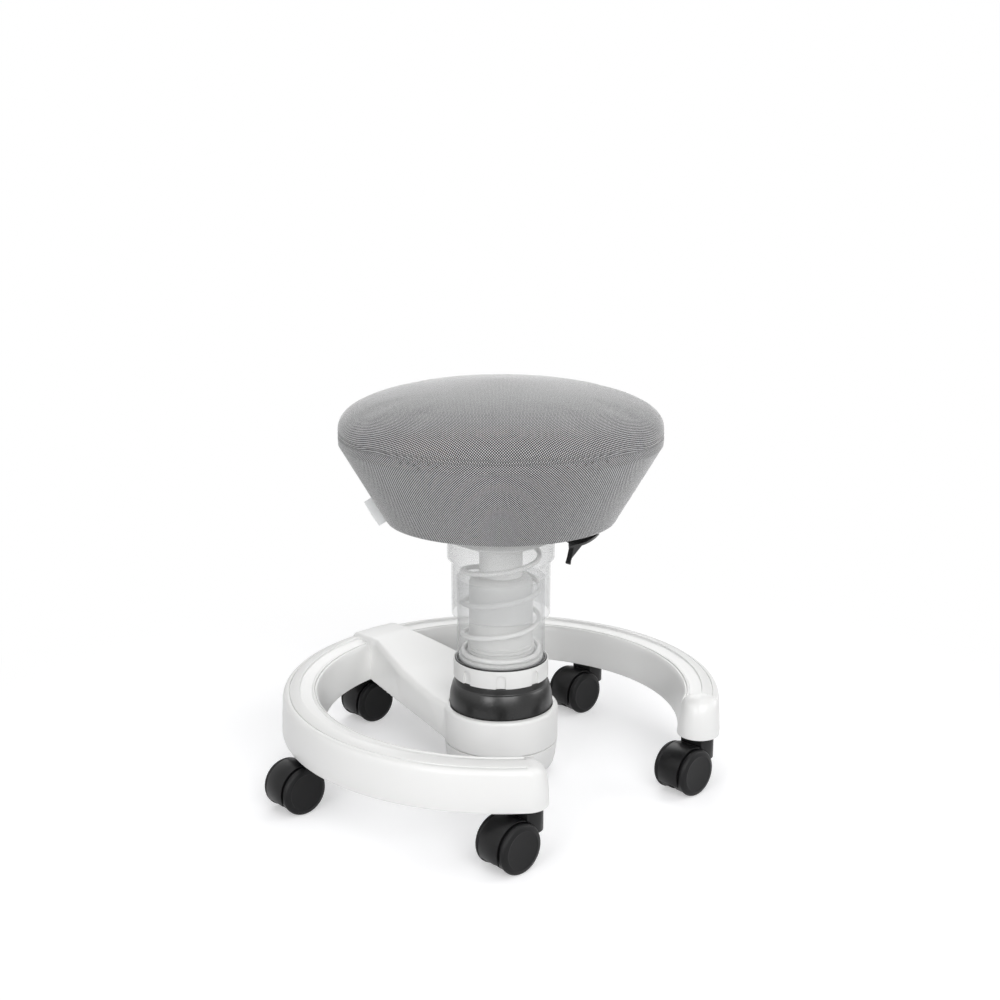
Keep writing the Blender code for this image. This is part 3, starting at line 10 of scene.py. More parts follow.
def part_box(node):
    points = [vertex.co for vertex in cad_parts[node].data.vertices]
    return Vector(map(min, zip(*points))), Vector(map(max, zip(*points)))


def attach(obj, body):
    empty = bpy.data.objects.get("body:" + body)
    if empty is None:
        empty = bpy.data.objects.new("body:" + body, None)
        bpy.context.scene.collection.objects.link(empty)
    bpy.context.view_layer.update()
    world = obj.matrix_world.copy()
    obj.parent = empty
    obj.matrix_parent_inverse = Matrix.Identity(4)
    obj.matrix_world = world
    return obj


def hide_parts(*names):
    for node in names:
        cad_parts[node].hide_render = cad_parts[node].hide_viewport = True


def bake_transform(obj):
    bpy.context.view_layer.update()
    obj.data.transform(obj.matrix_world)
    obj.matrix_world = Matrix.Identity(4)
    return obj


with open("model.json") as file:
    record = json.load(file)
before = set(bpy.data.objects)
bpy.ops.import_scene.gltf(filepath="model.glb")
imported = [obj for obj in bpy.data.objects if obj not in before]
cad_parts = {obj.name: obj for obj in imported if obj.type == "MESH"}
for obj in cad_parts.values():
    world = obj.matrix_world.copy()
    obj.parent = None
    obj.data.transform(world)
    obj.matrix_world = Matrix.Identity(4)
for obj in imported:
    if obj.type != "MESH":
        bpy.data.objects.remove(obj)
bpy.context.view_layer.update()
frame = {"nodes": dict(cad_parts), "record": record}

# The camera stands at the stool's front left, a little above the seat, with a 50 mm lens. Everything
# below is modelled about the column's axis, which runs through the middle of the seat cover's box.
cover_low, cover_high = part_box("seat_cover")
COLUMN = Vector(((cover_low.x + cover_high.x) / 2, (cover_low.y + cover_high.y) / 2, 0))
CAMERA_PLACE = Vector((-0.9670, -1.0650, 0.6474))
CAMERA_TILT = math.radians(76.54)
CAMERA_TURN = math.radians(-42.20)
CAMERA_LENS = 50.44
bpy.ops.object.select_all(action="DESELECT")
bpy.ops.object.camera_add(location=COLUMN + CAMERA_PLACE, rotation=(CAMERA_TILT, 0, CAMERA_TURN))
camera = bpy.context.object
camera.data.lens = CAMERA_LENS
bpy.context.scene.camera = camera


# The studio floor: a plain pale sheet that takes the stool's soft shadow, and turns into the white of
# the backdrop further out. The camera, gloss and clear plastic see that white; the stool's own light
# comes from the lamps and from a faint even surround.
class Wire:
    """One output of a material's nodes. Arithmetic on it adds Math nodes, and add() any other node."""

    def __init__(self, tree, socket=None):
        self.tree = tree
        self.socket = socket

    def add(self, kind, settings, inputs, output=0):
        """Adds a node: its settings first, then the values or wires of its sockets."""
        node = self.tree.nodes.new(kind)
        for name, value in settings.items():
            setattr(node, name, value)
        for name, value in inputs.items():
            if isinstance(value, Wire):
                self.tree.links.new(value.socket, node.inputs[name])
            else:
                node.inputs[name].default_value = value
        return Wire(self.tree, node.outputs[output])

    def into(self, node, name):
        """Leads this wire into a socket of a node that is there already."""
        self.tree.links.new(self.socket, node.inputs[name])

    def maths(self, operation, *values):
        return self.add("ShaderNodeMath", {"operation": operation}, dict(enumerate(values)))

    def __add__(self, other):
        return self.maths("ADD", self, other)

    __radd__ = __add__

    def __sub__(self, other):
        return self.maths("SUBTRACT", self, other)

    def __rsub__(self, other):
        return self.maths("SUBTRACT", other, self)

    def __mul__(self, other):
        return self.maths("MULTIPLY", self, other)

    __rmul__ = __mul__

    def most(self, other):
        return self.maths("MAXIMUM", self, other)

    def step(self, low, high):
        """Zero below low, one above high, and a smooth rise between them."""
        return self.add("ShaderNodeMapRange", {"interpolation_type": "SMOOTHSTEP"},
                        {"Value": self, "From Min": low, "From Max": high})

    def between(self, first, second):
        """One of two colours, or a blend of them, with this wire as the factor."""
        return self.add("ShaderNodeMix", {"data_type": "RGBA"}, {0: self, 6: first, 7: second}, 2)


def rgb(red, green, blue):
    """A colour with full alpha."""
    return (red, green, blue, 1.0)


def backdrop_rays(start):
    """One for the rays that see the backdrop: those of the camera, of gloss and of clear plastic."""
    kinds = [start.add("ShaderNodeLightPath", {}, {}, name)
             for name in ("Is Camera Ray", "Is Glossy Ray", "Is Transmission Ray")]
    return kinds[0].most(kinds[1]).most(kinds[2])


FLOOR_HALF = 5.0
FLOOR_COLOUR = rgb(0.80, 0.80, 0.81)
FLOOR_LIFT = 0.36
FADE_START = 0.30
FADE_END = 0.75
SURROUND = rgb(0.93, 0.95, 1.0)
SURROUND_STRENGTH = 0.03

bpy.ops.object.select_all(action="DESELECT")
bpy.ops.mesh.primitive_plane_add(size=2 * FLOOR_HALF, location=COLUMN)
floor = bpy.context.object
floor.name = "studio_floor"
bpy.ops.object.transform_apply(location=True, rotation=False, scale=False)
floor_paint = bpy.data.materials.new("floor_paint")
floor_paint.use_nodes = True
floor_tree = floor_paint.node_tree
floor_tree.nodes.remove(floor_tree.nodes["Principled BSDF"])
start = Wire(floor_tree)
seen = backdrop_rays(start)
centred = start.add("ShaderNodeVectorMath", {"operation": "SUBTRACT"},
                    {0: start.add("ShaderNodeTexCoord", {}, {}, "Object"), 1: COLUMN})
away = start.add("ShaderNodeVectorMath", {"operation": "LENGTH"}, {0: centred}, "Value")
matt = start.add("ShaderNodeBsdfDiffuse", {}, {"Color": FLOOR_COLOUR})
lift = start.add("ShaderNodeEmission", {}, {"Strength": seen * FLOOR_LIFT})
lifted = start.add("ShaderNodeAddShader", {}, {0: matt, 1: lift})
white = start.add("ShaderNodeEmission", {}, {"Strength": 1.0})
shown = start.add("ShaderNodeMixShader", {}, {0: away.step(FADE_START, FADE_END) * seen, 1: lifted, 2: white})
shown.into(floor_tree.nodes["Material Output"], "Surface")
floor.data.materials.append(floor_paint)

world = bpy.data.worlds.new("studio")
bpy.context.scene.world = world
world.use_nodes = True
sky = Wire(world.node_tree)
surround = sky.add("ShaderNodeBackground", {}, {"Color": SURROUND, "Strength": SURROUND_STRENGTH})
backdrop = sky.add("ShaderNodeBackground", {}, {"Color": rgb(1, 1, 1), "Strength": 1.0})
both = sky.add("ShaderNodeMixShader", {}, {0: backdrop_rays(sky), 1: surround, 2: backdrop})
both.into(world.node_tree.nodes["World Output"], "Surface")

# Seven soft boxes: a wide one overhead, three round the camera, and others at the right, the left and
# the back. Each has a direction (towards the camera, to its right, upwards), distance, size and watts.
LAMPS = (
    ("top", (0.0, 0.0, 1.0), 2.2, 2.5, 21.0),
    ("beside_camera", (0.84, 0.30, 0.48), 2.4, 1.5, 31.0),
    ("front_left", (0.85, -0.45, 0.30), 2.4, 0.8, 14.0),
    ("high_left", (0.60, -0.60, 0.85), 2.4, 1.5, 5.0),
    ("right", (-0.10, 0.90, 0.35), 2.2, 1.2, 13.0),
    ("left", (0.30, -0.85, 0.40), 2.2, 1.5, 2.5),
    ("back", (-0.80, 0.0, 0.60), 2.2, 1.5, 15.0),
)
towards_camera = Vector((CAMERA_PLACE.x, CAMERA_PLACE.y, 0)).normalized()
to_the_right = Vector((-towards_camera.y, towards_camera.x, 0))
LAMP_AIM = Vector((0, 0, 0.15))
bpy.context.scene.view_settings.view_transform = "Standard"
for name, (near, right, up), distance, size, watts in LAMPS:
    way = (towards_camera * near + to_the_right * right + Vector((0, 0, up))).normalized()
    bpy.ops.object.light_add(type="AREA", location=COLUMN + LAMP_AIM + way * distance,
                             rotation=way.to_track_quat("Z", "Y").to_euler())
    lamp = bpy.context.object
    lamp.name = name
    lamp.data.size = size
    lamp.data.energy = watts


# The foot ring: a C-shaped rim injection moulded in gloss white plastic. Its top carries a raised bead,
# a channel and a flat strip between fine grooves, which stop short at the plain round ends; below, it
# is hollow between the blocks that hold the castors' stems.
def section(name, outline, closed=True):
    """Draws a section of (radius, height) points beside the column, extruding one point along it."""
    bpy.ops.object.select_all(action="DESELECT")
    bpy.ops.mesh.primitive_plane_add(size=0.001)
    piece = bpy.context.object
    piece.name = name
    bpy.ops.object.mode_set(mode="EDIT")
    bpy.ops.mesh.select_all(action="SELECT")
    bpy.ops.mesh.merge(type="CENTER")
    bpy.ops.transform.translate(value=(outline[0][0], 0, outline[0][1]))
    stops = outline + outline[:1] if closed else outline
    for one, two in zip(stops, stops[1:]):
        bpy.ops.mesh.extrude_vertices_move(
            TRANSFORM_OT_translate={"value": (two[0] - one[0], 0, two[1] - one[1])})
    bpy.ops.mesh.select_all(action="SELECT")
    bpy.ops.mesh.remove_doubles(threshold=1e-6)
    return piece


def pick(piece, wanted):
    """Selects the points of a piece in edit mode whose place passes a test."""
    mesh = bmesh.from_edit_mesh(piece.data)
    for vert in mesh.verts:
        vert.select_set(bool(wanted(vert.co)))
    mesh.select_flush_mode()
    bmesh.update_edit_mesh(piece.data)


def closed_up(piece):
    """Merges what a spin or a mirror doubled, turns the faces outwards and leaves edit mode."""
    bpy.ops.mesh.select_all(action="SELECT")
    bpy.ops.mesh.remove_doubles(threshold=1e-6)
    bpy.ops.mesh.normals_make_consistent(inside=False)
    bpy.ops.object.mode_set(mode="OBJECT")
    return piece


def spun(name, outline, steps, closed=True, turn=math.tau):
    """Spins a section about the column's axis."""
    piece = section(name, outline, closed)
    bpy.ops.mesh.spin(steps=steps, angle=turn, center=(0, 0, 0), axis=(0, 0, -1))
    if turn < math.tau:
        bpy.ops.mesh.select_all(action="DESELECT")
        bpy.ops.mesh.select_non_manifold(extend=False, use_wire=False, use_multi_face=False, use_verts=False)
        bpy.ops.mesh.edge_face_add()
    return closed_up(piece)


def modified(piece, kind, **settings):
    """Adds a modifier to a piece and applies it."""
    modifier = piece.modifiers.new(kind.lower(), kind)
    for name, value in settings.items():
        setattr(modifier, name, value)
    bpy.context.view_layer.objects.active = piece
    bpy.ops.object.modifier_apply(modifier=modifier.name)


def cut(piece, tools, operation="DIFFERENCE"):
    """Cuts a piece with tools, or joins them to it. The tools are then gone."""
    for tool in tools:
        modified(piece, "BOOLEAN", object=tool, operation=operation, solver="EXACT")
        bpy.data.objects.remove(tool)


def softened(piece, width, segments=2, angle=28):
    """Rounds the sharp edges of a piece."""
    modified(piece, "BEVEL", width=width, segments=segments, limit_method="ANGLE",
             angle_limit=math.radians(angle), use_clamp_overlap=True)


def finished(piece, material, smooth=30):
    """Moves a modelled piece to the column, and gives it its smooth faces and its material."""
    piece.data.transform(Matrix.Translation(COLUMN))
    bpy.ops.object.select_all(action="DESELECT")
    piece.select_set(True)
    bpy.context.view_layer.objects.active = piece
    bpy.ops.object.shade_smooth_by_angle(angle=math.radians(smooth))
    piece.data.materials.clear()
    piece.data.materials.append(material)


def placed(piece, material, body, replaced, smooth=30):
    """Finishes a piece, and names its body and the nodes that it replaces."""
    finished(piece, material, smooth)
    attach(piece, body)
    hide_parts(*replaced)


def moulded(name, colour, roughness, coat, grain, depth, flow=0.03, gloss=0.5):
    """A moulded plastic: an even colour with faint flow marks, and the fine grain of its mould."""
    material = bpy.data.materials.new(name)
    material.use_nodes = True
    shader = material.node_tree.nodes["Principled BSDF"]
    start = Wire(material.node_tree)
    place = start.add("ShaderNodeTexCoord", {}, {}, "Object")
    cloudy = start.add("ShaderNodeTexNoise", {}, {"Vector": place, "Scale": 14.0, "Detail": 4.0})
    fine = start.add("ShaderNodeTexNoise", {}, {"Vector": place, "Scale": grain, "Detail": 3.0})
    darker = tuple(value * (1 - flow) for value in colour)
    lighter = tuple(value * (1 + flow / 2) for value in colour)
    cloudy.between(rgb(*darker), rgb(*lighter)).into(shader, "Base Color")
    ((cloudy - 0.5) * 0.10 + (fine - 0.5) * 0.10 + roughness).into(shader, "Roughness")
    grained = start.add("ShaderNodeBump", {}, {"Strength": 1.0, "Distance": depth, "Height": fine})
    grained.into(shader, "Normal")
    shader.inputs["Coat Weight"].default_value = coat
    shader.inputs["Specular IOR Level"].default_value = gloss
    shader.inputs["Coat Roughness"].default_value = 0.12
    return material


white_plastic = moulded("white_plastic", (0.81, 0.81, 0.80), 0.36, 0.15, 900.0, 0.00001, 0.012)

RING_R = 0.2145
RING_HALF = 0.0225
RING_LOW = 0.0586
RING_TALL = 0.0454
RING_STEPS = 96
RING_START = math.radians(-54)
RING_SWEEP = math.radians(144)
# Each point: its place across the rim and its height, as shares, on the rail and at the round ends.
RING_SECTION = (
    (0.985, 0.000, 0.000), (1.000, 0.030, 0.030), (0.970, 0.400, 0.400), (0.925, 0.770, 0.740),
    (0.900, 0.840, 0.800), (0.860, 0.885, 0.852), (0.800, 0.912, 0.888), (0.740, 0.926, 0.912),
    (0.640, 0.937, 0.935), (0.622, 0.892, 0.939), (0.598, 0.892, 0.943), (0.580, 0.946, 0.947),
    (0.350, 0.977, 0.972), (0.130, 1.000, 0.983), (0.110, 0.996, 0.983), (0.085, 0.950, 0.983),
    (0.050, 0.950, 0.982), (-0.200, 0.930, 0.965), (-0.440, 0.906, 0.936), (-0.470, 0.922, 0.928),
    (-0.520, 0.932, 0.914), (-0.570, 0.925, 0.896), (-0.588, 0.868, 0.888), (-0.617, 0.866, 0.878),
    (-0.635, 0.909, 0.867), (-0.680, 0.902, 0.840), (-0.730, 0.870, 0.796), (-0.790, 0.790, 0.720),
    (-0.900, 0.400, 0.400), (-1.000, 0.030, 0.030), (-0.985, 0.000, 0.000))
# The round ends' own shoulders: distance from the end stem's axis and height, as shares.
END_TIP = ((0.000, 0.983), (0.150, 0.979), (0.300, 0.966), (0.450, 0.942), (0.580, 0.908), (0.690, 0.862),
           (0.780, 0.802), (0.860, 0.720), (0.920, 0.620), (0.965, 0.480), (0.990, 0.300), (1.000, 0.030))
END_STEPS = 18
END_TURN = math.radians(86)
TINY = 1e-9


def height_on(profile, reach):
    """Height share of a profile at a distance from the stem's axis."""
    for one, two in zip(profile, profile[1:]):
        if reach <= two[0]:
            return one[1] + (two[1] - one[1]) * (reach - one[0]) / max(two[0] - one[0], TINY)
    return profile[-1][1]


outer_side = sorted((across, height) for across, _, height in RING_SECTION[1:-1] if across > 0)
inner_side = sorted((-across, height) for across, _, height in RING_SECTION[1:-1] if across < 0)
middle = (0, (outer_side[0][1] + inner_side[0][1]) / 2)
outer_side.insert(0, middle)
inner_side.insert(0, middle)


def end_outline(out):
    """The ring's section in an end, a share of the end's radius beyond the stem."""
    width = math.sqrt(1 - out * out)
    spots = []
    for across, _, height in RING_SECTION:
        if height:
            reach = math.hypot(across * width, out)
            lean = across * width / max(reach, TINY)
            side = (1 + lean) / 2
            share = height_on(outer_side, reach) * side + height_on(inner_side, reach) * (1 - side)
            round_share = 1 - lean * lean
            height = share * (1 - round_share) + height_on(END_TIP, reach) * round_share
        spots.append((RING_R + RING_HALF * across * width, RING_LOW + RING_TALL * height))
    return spots


rail = [(RING_R + RING_HALF * across, RING_LOW + RING_TALL * height) for across, height, _ in RING_SECTION]
ring = section("foot_ring_moulding", rail)
bpy.ops.mesh.spin(steps=RING_STEPS, angle=RING_SWEEP, center=(0, 0, 0), axis=(0, 0, -1))
pick(ring, lambda co: abs(co.y) < 1e-6 and co.x > 0)
before, drawn = 0.0, rail
for step in range(END_STEPS + 1):
    out = math.sin(END_TURN * step / END_STEPS)
    outline = end_outline(out)
    bpy.ops.mesh.extrude_region_move(TRANSFORM_OT_translate={"value": (0, RING_HALF * (before - out), 0)})
    edit = bmesh.from_edit_mesh(ring.data)
    for vert in [vert for vert in edit.verts if vert.select]:
        gaps = [math.dist(spot, (vert.co.x, vert.co.z)) for spot in drawn]
        vert.co.x, vert.co.z = outline[gaps.index(min(gaps))]
    bmesh.update_edit_mesh(ring.data)
    before, drawn = out, outline
bpy.ops.mesh.edge_face_add()
closed_up(ring)
ring.data.transform(Matrix.Rotation(RING_START, 4, "Z"))
modified(ring, "MIRROR", use_axis=(True, False, False), merge_threshold=1e-5)
bpy.ops.object.mode_set(mode="EDIT")
closed_up(ring)

BLOCK_HALF_TURN = math.radians(4.5)
CASTOR_STEP = math.radians(72)
HOLLOW_STEPS = 40
HOLLOW = ((0.82, -0.05), (0.80, 0.40), (0.74, 0.72), (0.60, 0.84), (0.10, 0.86), (-0.40, 0.83), (-0.56, 0.78),
          (-0.72, 0.40), (-0.82, -0.05))
hollow_outline = [(RING_R + RING_HALF * across, RING_LOW + RING_TALL * height) for across, height in HOLLOW]
hollows = []
for number in range(4):
    hollow = spun("hollow", hollow_outline, HOLLOW_STEPS, turn=CASTOR_STEP - 2 * BLOCK_HALF_TURN)
    hollow.data.transform(Matrix.Rotation(RING_START + CASTOR_STEP * number + BLOCK_HALF_TURN, 4, "Z"))
    hollows.append(hollow)
cut(ring, hollows)
softened(ring, 0.0004, 2, 30)
placed(ring, white_plastic, "base", ["foot_ring"], smooth=48)


# Hub and arm: one white moulding. The arm climbs from the hub, narrows, and laps over the ring with a
# thin soft lip, screwed on from inside; a shallow cup closes the hub from below.
HUB_R = 0.0622
HUB_BORE_R = 0.0568
HUB_LOW = 0.0370
HUB_TOP = 0.0766
HUB_ROUND = 0.0036
ARM_REACH = 0.1960
ARM_END = 0.1845
ARM_LIP_R = 0.2300
ARM_LIP = 0.0023
ARM_WALL = 0.0040
ARM_ROUND = 0.0070
ARM_TOP_HALVES = (0.0540, 0.0303)
ARM_LOW_HALVES = (0.0605, 0.0350)
# Each station: shares of the run outwards, of the top's narrowing and of its climb.
ARM_RUN_SHARES = ((0.0, 0.0, 0.0), (0.06, 0.0, 0.0), (0.18, 0.005, 0.05), (0.30, 0.02, 0.13),
                  (0.45, 0.14, 0.30), (0.60, 0.295, 0.50), (0.70, 0.48, 0.66), (0.80, 0.66, 0.80),
                  (0.88, 0.82, 0.90), (0.93, 0.92, 0.96), (0.966, 0.96, 0.98), (0.978, 0.98, 0.99),
                  (1.0, 1.0, 1.0))
ARM_FLANGE = 0.0016
ARM_FLANGE_FROM = 0.1910
# Each station over the ring: distance past its middle, half widths, and how far its top drops.
LAP_STATIONS = ((-0.010, 0.0325, 0.0366, 0.0), (0.0, 0.0330, 0.0350, 0.0), (0.010, 0.0330, 0.0340, 0.0006),
                (0.024, 0.0330, 0.0340, 0.0030))
ARM_VOXEL = 0.0011
RING_FIT = 0.0001
HUB_STEPS = 128
RING_TOP = RING_LOW + RING_TALL


def round_arc(centre, radius, start, end, steps):
    """Points of an arc, its angles in degrees."""
    turns = [math.radians(start + (end - start) * step / steps) for step in range(steps + 1)]
    return [(centre[0] + radius * math.cos(turn), centre[1] + radius * math.sin(turn)) for turn in turns]


def arm_outline(top_half, top, low_half, low, rounding):
    """The arm's section, with round upper edges."""
    right = [(low_half, low)] + round_arc((top_half - rounding, top - rounding), rounding, 0, 90, 5)
    return right + [(-across, height) for across, height in reversed(right)]


def arm_stations():
    """The arm's sections from the hub outwards: place, half widths and heights."""
    stations = []
    for run, narrowing, climb in ARM_RUN_SHARES:
        top_half = ARM_TOP_HALVES[0] + (ARM_TOP_HALVES[1] - ARM_TOP_HALVES[0]) * narrowing
        low_half = ARM_LOW_HALVES[0] + (ARM_LOW_HALVES[1] - ARM_LOW_HALVES[0]) * run
        top = HUB_TOP + (RING_TOP + ARM_LIP - HUB_TOP) * climb
        flange = ARM_FLANGE if ARM_REACH * run > ARM_FLANGE_FROM else 0
        stations.append((ARM_REACH * run, top_half + flange, top, low_half + flange,
                         HUB_LOW + (RING_LOW - HUB_LOW) * run))
    return stations


def drawn_through(name, sections):
    """Extrudes a section along the arm through its stations, moving its points at each."""
    before, drawn = sections[0]
    piece = section(name, drawn)
    bpy.ops.transform.translate(value=(0, before, 0))
    bpy.ops.mesh.edge_face_add()
    for place, outline in sections[1:]:
        bpy.ops.mesh.extrude_region_move(TRANSFORM_OT_translate={"value": (0, place - before, 0)})
        edit = bmesh.from_edit_mesh(piece.data)
        for vert in [vert for vert in edit.verts if vert.select]:
            gaps = [math.dist(spot, (vert.co.x, vert.co.z)) for spot in drawn]
            vert.co.x, vert.co.z = outline[gaps.index(min(gaps))]
        bmesh.update_edit_mesh(piece.data)
        before, drawn = place, outline
    return closed_up(piece)


def plug(name, radius, low, high, steps=HUB_STEPS):
    """A plain disc about the column, to cut with."""
    return spun(name, [(0, low), (radius, low), (radius, high), (0, high)], steps, closed=False)


stations = arm_stations()
for past, top_half, low_half, drop in LAP_STATIONS:
    stations.append((RING_R + past, top_half, RING_TOP + ARM_LIP - drop, low_half, RING_LOW))
arm = drawn_through("hub_and_arm", [(place, arm_outline(top_half, top, low_half, low, ARM_ROUND))
                                    for place, top_half, top, low_half, low in stations])
cut(arm, [plug("reach", ARM_LIP_R, 0.0, 0.14, 160)], "INTERSECT")
rim = round_arc((HUB_R - HUB_ROUND, HUB_TOP - HUB_ROUND), HUB_ROUND, 0, 90, 5)
hub = spun("hub", [(0, HUB_LOW), (HUB_R, HUB_LOW)] + rim + [(0, HUB_TOP)], HUB_STEPS, closed=False)
cut(arm, [hub], "UNION")
modified(arm, "REMESH", mode="VOXEL", voxel_size=ARM_VOXEL)
modified(arm, "SMOOTH", factor=0.5, iterations=10)
hub_bore = plug("bore", HUB_BORE_R, 0.02, 0.10)
hollow_sections = []
for place, top_half, top, low_half, low in stations:
    if place <= ARM_END:
        hollow_sections.append((place, arm_outline(top_half - ARM_WALL, top - ARM_WALL, low_half - ARM_WALL,
                                                   low - 0.01, ARM_ROUND)))
hollow_sections.append((ARM_END, hollow_sections[-1][1]))
arm_hollow = drawn_through("hollow", hollow_sections)
cut(arm, [hub_bore, arm_hollow, plug("floor_cut", 0.25, 0.0, HUB_LOW, 64)])
cut(arm, [spun("ring_space", [(radius, height - RING_FIT) for radius, height in rail], 144)])
placed(arm, white_plastic, "base", ["hub_arm"], smooth=40)

CUP_SIDE = [(0, 0.0080), (0.0530, 0.0080), (0.0565, 0.0090), (0.0580, 0.0118), (0.0597, 0.0190),
            (0.0610, 0.0280), (0.0617, 0.0364), (0.0565, 0.0364), (0.0565, 0.0394)]
CUP_INSIDE = [(0.0535, 0.0394), (0.0535, 0.0330), (0.0567, 0.0190), (0.0545, 0.0110), (0, 0.0110)]
cup = spun("hub_cup_shell", CUP_SIDE + CUP_INSIDE, HUB_STEPS, closed=False)
softened(cup, 0.0008, 3)
placed(cup, white_plastic, "base", ["hub_cup"])


# The tilt bearing: a black rubber dome between the hub and the strut, moulded with a satin skin.
PIVOT_Z = 0.0810
DOME_R = 0.0560
DOME_WALL = 0.0030
NECK_R = 0.0505
NECK_LOW = 0.1030
NECK_TOP = 0.1097
TUBE_FIT_R = 0.0347
TURNED_STEPS = 128
rubber = moulded("dome_rubber", (0.003, 0.003, 0.003), 0.30, 0.0, 1500.0, 0.00001, 0.1, 0.55)
shoulder = math.degrees(math.acos(NECK_R / 0.0545))
dome_outside = round_arc((0, PIVOT_Z), DOME_R, -20, shoulder, 16)
dome_outside = [spot for spot in dome_outside if spot[0] > NECK_R + 0.0003]
dome_inside = round_arc((0, PIVOT_Z), DOME_R - DOME_WALL, shoulder, -20, 12)
neck = [(NECK_R, NECK_LOW), (NECK_R, NECK_TOP), (TUBE_FIT_R, NECK_TOP), (TUBE_FIT_R, NECK_LOW + 0.0010)]
dome = spun("tilt_dome", dome_outside + neck + dome_inside, TURNED_STEPS)
softened(dome, 0.0006, 2, 35)
placed(dome, rubber, "column", ["rubber_dome"])


# The lock ring: a white screw ring with eight arched finger recesses, which clamps the strut in the
# dome, and the black seal in its mouth.
LOCK_R = 0.0515
LOCK_LIP_R = 0.0500
LOCK_INNER_R = 0.0489
LOCK_LIP_LOW = 0.1253
LOCK_LOW = 0.1100
LOCK_TOP = 0.1293
NOTCH_HALF = 0.0051
NOTCH_TOP = 0.1251
NOTCH_DEPTH = 0.0024
NOTCH_TURN = 47.8
NOTCHES = 8
CUTTER = 0.004
lock = spun("lock_ring_moulding", [(LOCK_INNER_R, LOCK_LOW), (LOCK_R, LOCK_LOW), (LOCK_R, LOCK_TOP),
                                   (LOCK_LIP_R, LOCK_TOP), (LOCK_LIP_R, LOCK_LIP_LOW),
                                   (LOCK_INNER_R, LOCK_LIP_LOW)], 160)
softened(lock, 0.0007, 3)
arch = [(NOTCH_HALF, LOCK_LOW - 0.002)]
arch += round_arc((0, NOTCH_TOP - NOTCH_HALF), NOTCH_HALF, 0, 180, 14) + [(-NOTCH_HALF, LOCK_LOW - 0.002)]
for number in range(NOTCHES):
    notch = section("notch", arch)
    bpy.ops.mesh.edge_face_add()
    bpy.ops.mesh.extrude_region_move(TRANSFORM_OT_translate={"value": (0, -CUTTER, 0)})
    closed_up(notch)
    notch.data.transform(Matrix.Translation((0, LOCK_R + CUTTER - NOTCH_DEPTH, 0)))
    notch.data.transform(Matrix.Rotation(math.radians(NOTCH_TURN + 360 / NOTCHES * number - 90), 4, "Z"))
    cut(lock, [notch])
softened(lock, 0.0002, 2, 35)
placed(lock, white_plastic, "lock_ring", ["lock_ring"])



def turned(name, inner, outer, low, high, steps=TURNED_STEPS):
    """A plain ring about the column."""
    return spun(name, [(inner, low), (outer, low), (outer, high), (inner, high)], steps)


seal = turned("seal", 0.0477, 0.0493, 0.1256, 0.1301)
softened(seal, 0.0004)
placed(seal, rubber, "column", ["seal_ring"])


# The strut: a light grey moulded tube with three ribs above its step, the round-shouldered guide cap
# pressed into its top, and the washer that the spring stands on.
grey_plastic = moulded("strut_plastic", (0.67, 0.67, 0.66), 0.42, 0.1, 1100.0, 0.00001, 0.02)
pillar_side = [(0.0344, 0.1737), (0.0344, 0.1480)]
for rib in (0.1460, 0.1420, 0.1380):
    pillar_side += [(0.0346, rib + 0.0012), (0.0360, rib + 0.0006), (0.0360, rib - 0.0006),
                    (0.0346, rib - 0.0012)]
pillar_side += [(0.0344, 0.1350), (0.0344, 0.1297), (0.0395, 0.1297), (0.0395, 0.1145), (0.0482, 0.1145),
                (0.0482, 0.1100), (0.0344, 0.1100), (0.0344, 0.1037), (0.0265, 0.0980), (0.0265, 0.0190),
                (0, 0.0190)]
pillar_inside = [(0, 0.0215), (0.0240, 0.0215), (0.0240, 0.0980), (0.0314, 0.1100), (0.0314, 0.1737)]
pillar = spun("strut_tube", pillar_side + pillar_inside, TURNED_STEPS)
softened(pillar, 0.0004)
placed(pillar, grey_plastic, "column", ["pillar_tube"])

CAP_TOP = 0.2218
CAP_ROUND = 0.0103
cap_outline = [(0.0237, CAP_TOP)] + round_arc((0.0241, CAP_TOP - CAP_ROUND), CAP_ROUND, 90, 0, 10)
cap_outline += [(0.0344, 0.1740), (0.0311, 0.1740), (0.0311, 0.1620), (0.0281, 0.1620), (0.0281, 0.2088),
                (0.0237, 0.2088)]
cap = spun("guide_cap_moulding", cap_outline, TURNED_STEPS)
softened(cap, 0.0004)
placed(cap, grey_plastic, "column", ["guide_cap"])

washer = turned("spring_washer", TUBE_FIT_R, 0.0456, 0.1300, 0.1340)
softened(washer, 0.0005)
placed(washer, grey_plastic, "column", ["lower_spring_seat"])

upper_washer = turned("spring_plate", 0.0237, 0.0556, 0.2620, 0.2680)
softened(upper_washer, 0.0006)
placed(upper_washer, grey_plastic, "carriage", ["upper_spring_seat"])

gas_outline = [(0.0053, 0.0640), (0.0234, 0.0640), (0.0234, 0.2677), (0.0214, 0.2677), (0.0214, 0.0670),
               (0.0053, 0.0670)]
gas = spun("lift_tube", gas_outline, TURNED_STEPS)
softened(gas, 0.0004)
# The lift tube gets a lighter grey than the strut's: painted light, brightening it where the seat shades it.
gas_tube_lightened = moulded("lift_tube_lightened", (0.86, 0.86, 0.85), 0.36, 0.15, 1500.0, 0.00001, 0.02)
placed(gas, gas_tube_lightened, "carriage", ["gas_tube"])


# The spring: one round wire, coated light grey, wound right-handed with a flat coil at each end.
SPRING_R = 0.0413
WIRE_R = 0.0027
SPRING_LOW = 0.1370
SPRING_HIGH = 0.2590
SPRING_PITCH = 0.0352
SPRING_FRONT = math.radians(227.8)
SPRING_LIFT_OFF = 0.10
SPRING_EASE = 0.25
SPRING_STEPS = 44
SPRING_FIRST = -0.55
SPRING_DEAD = 0.60


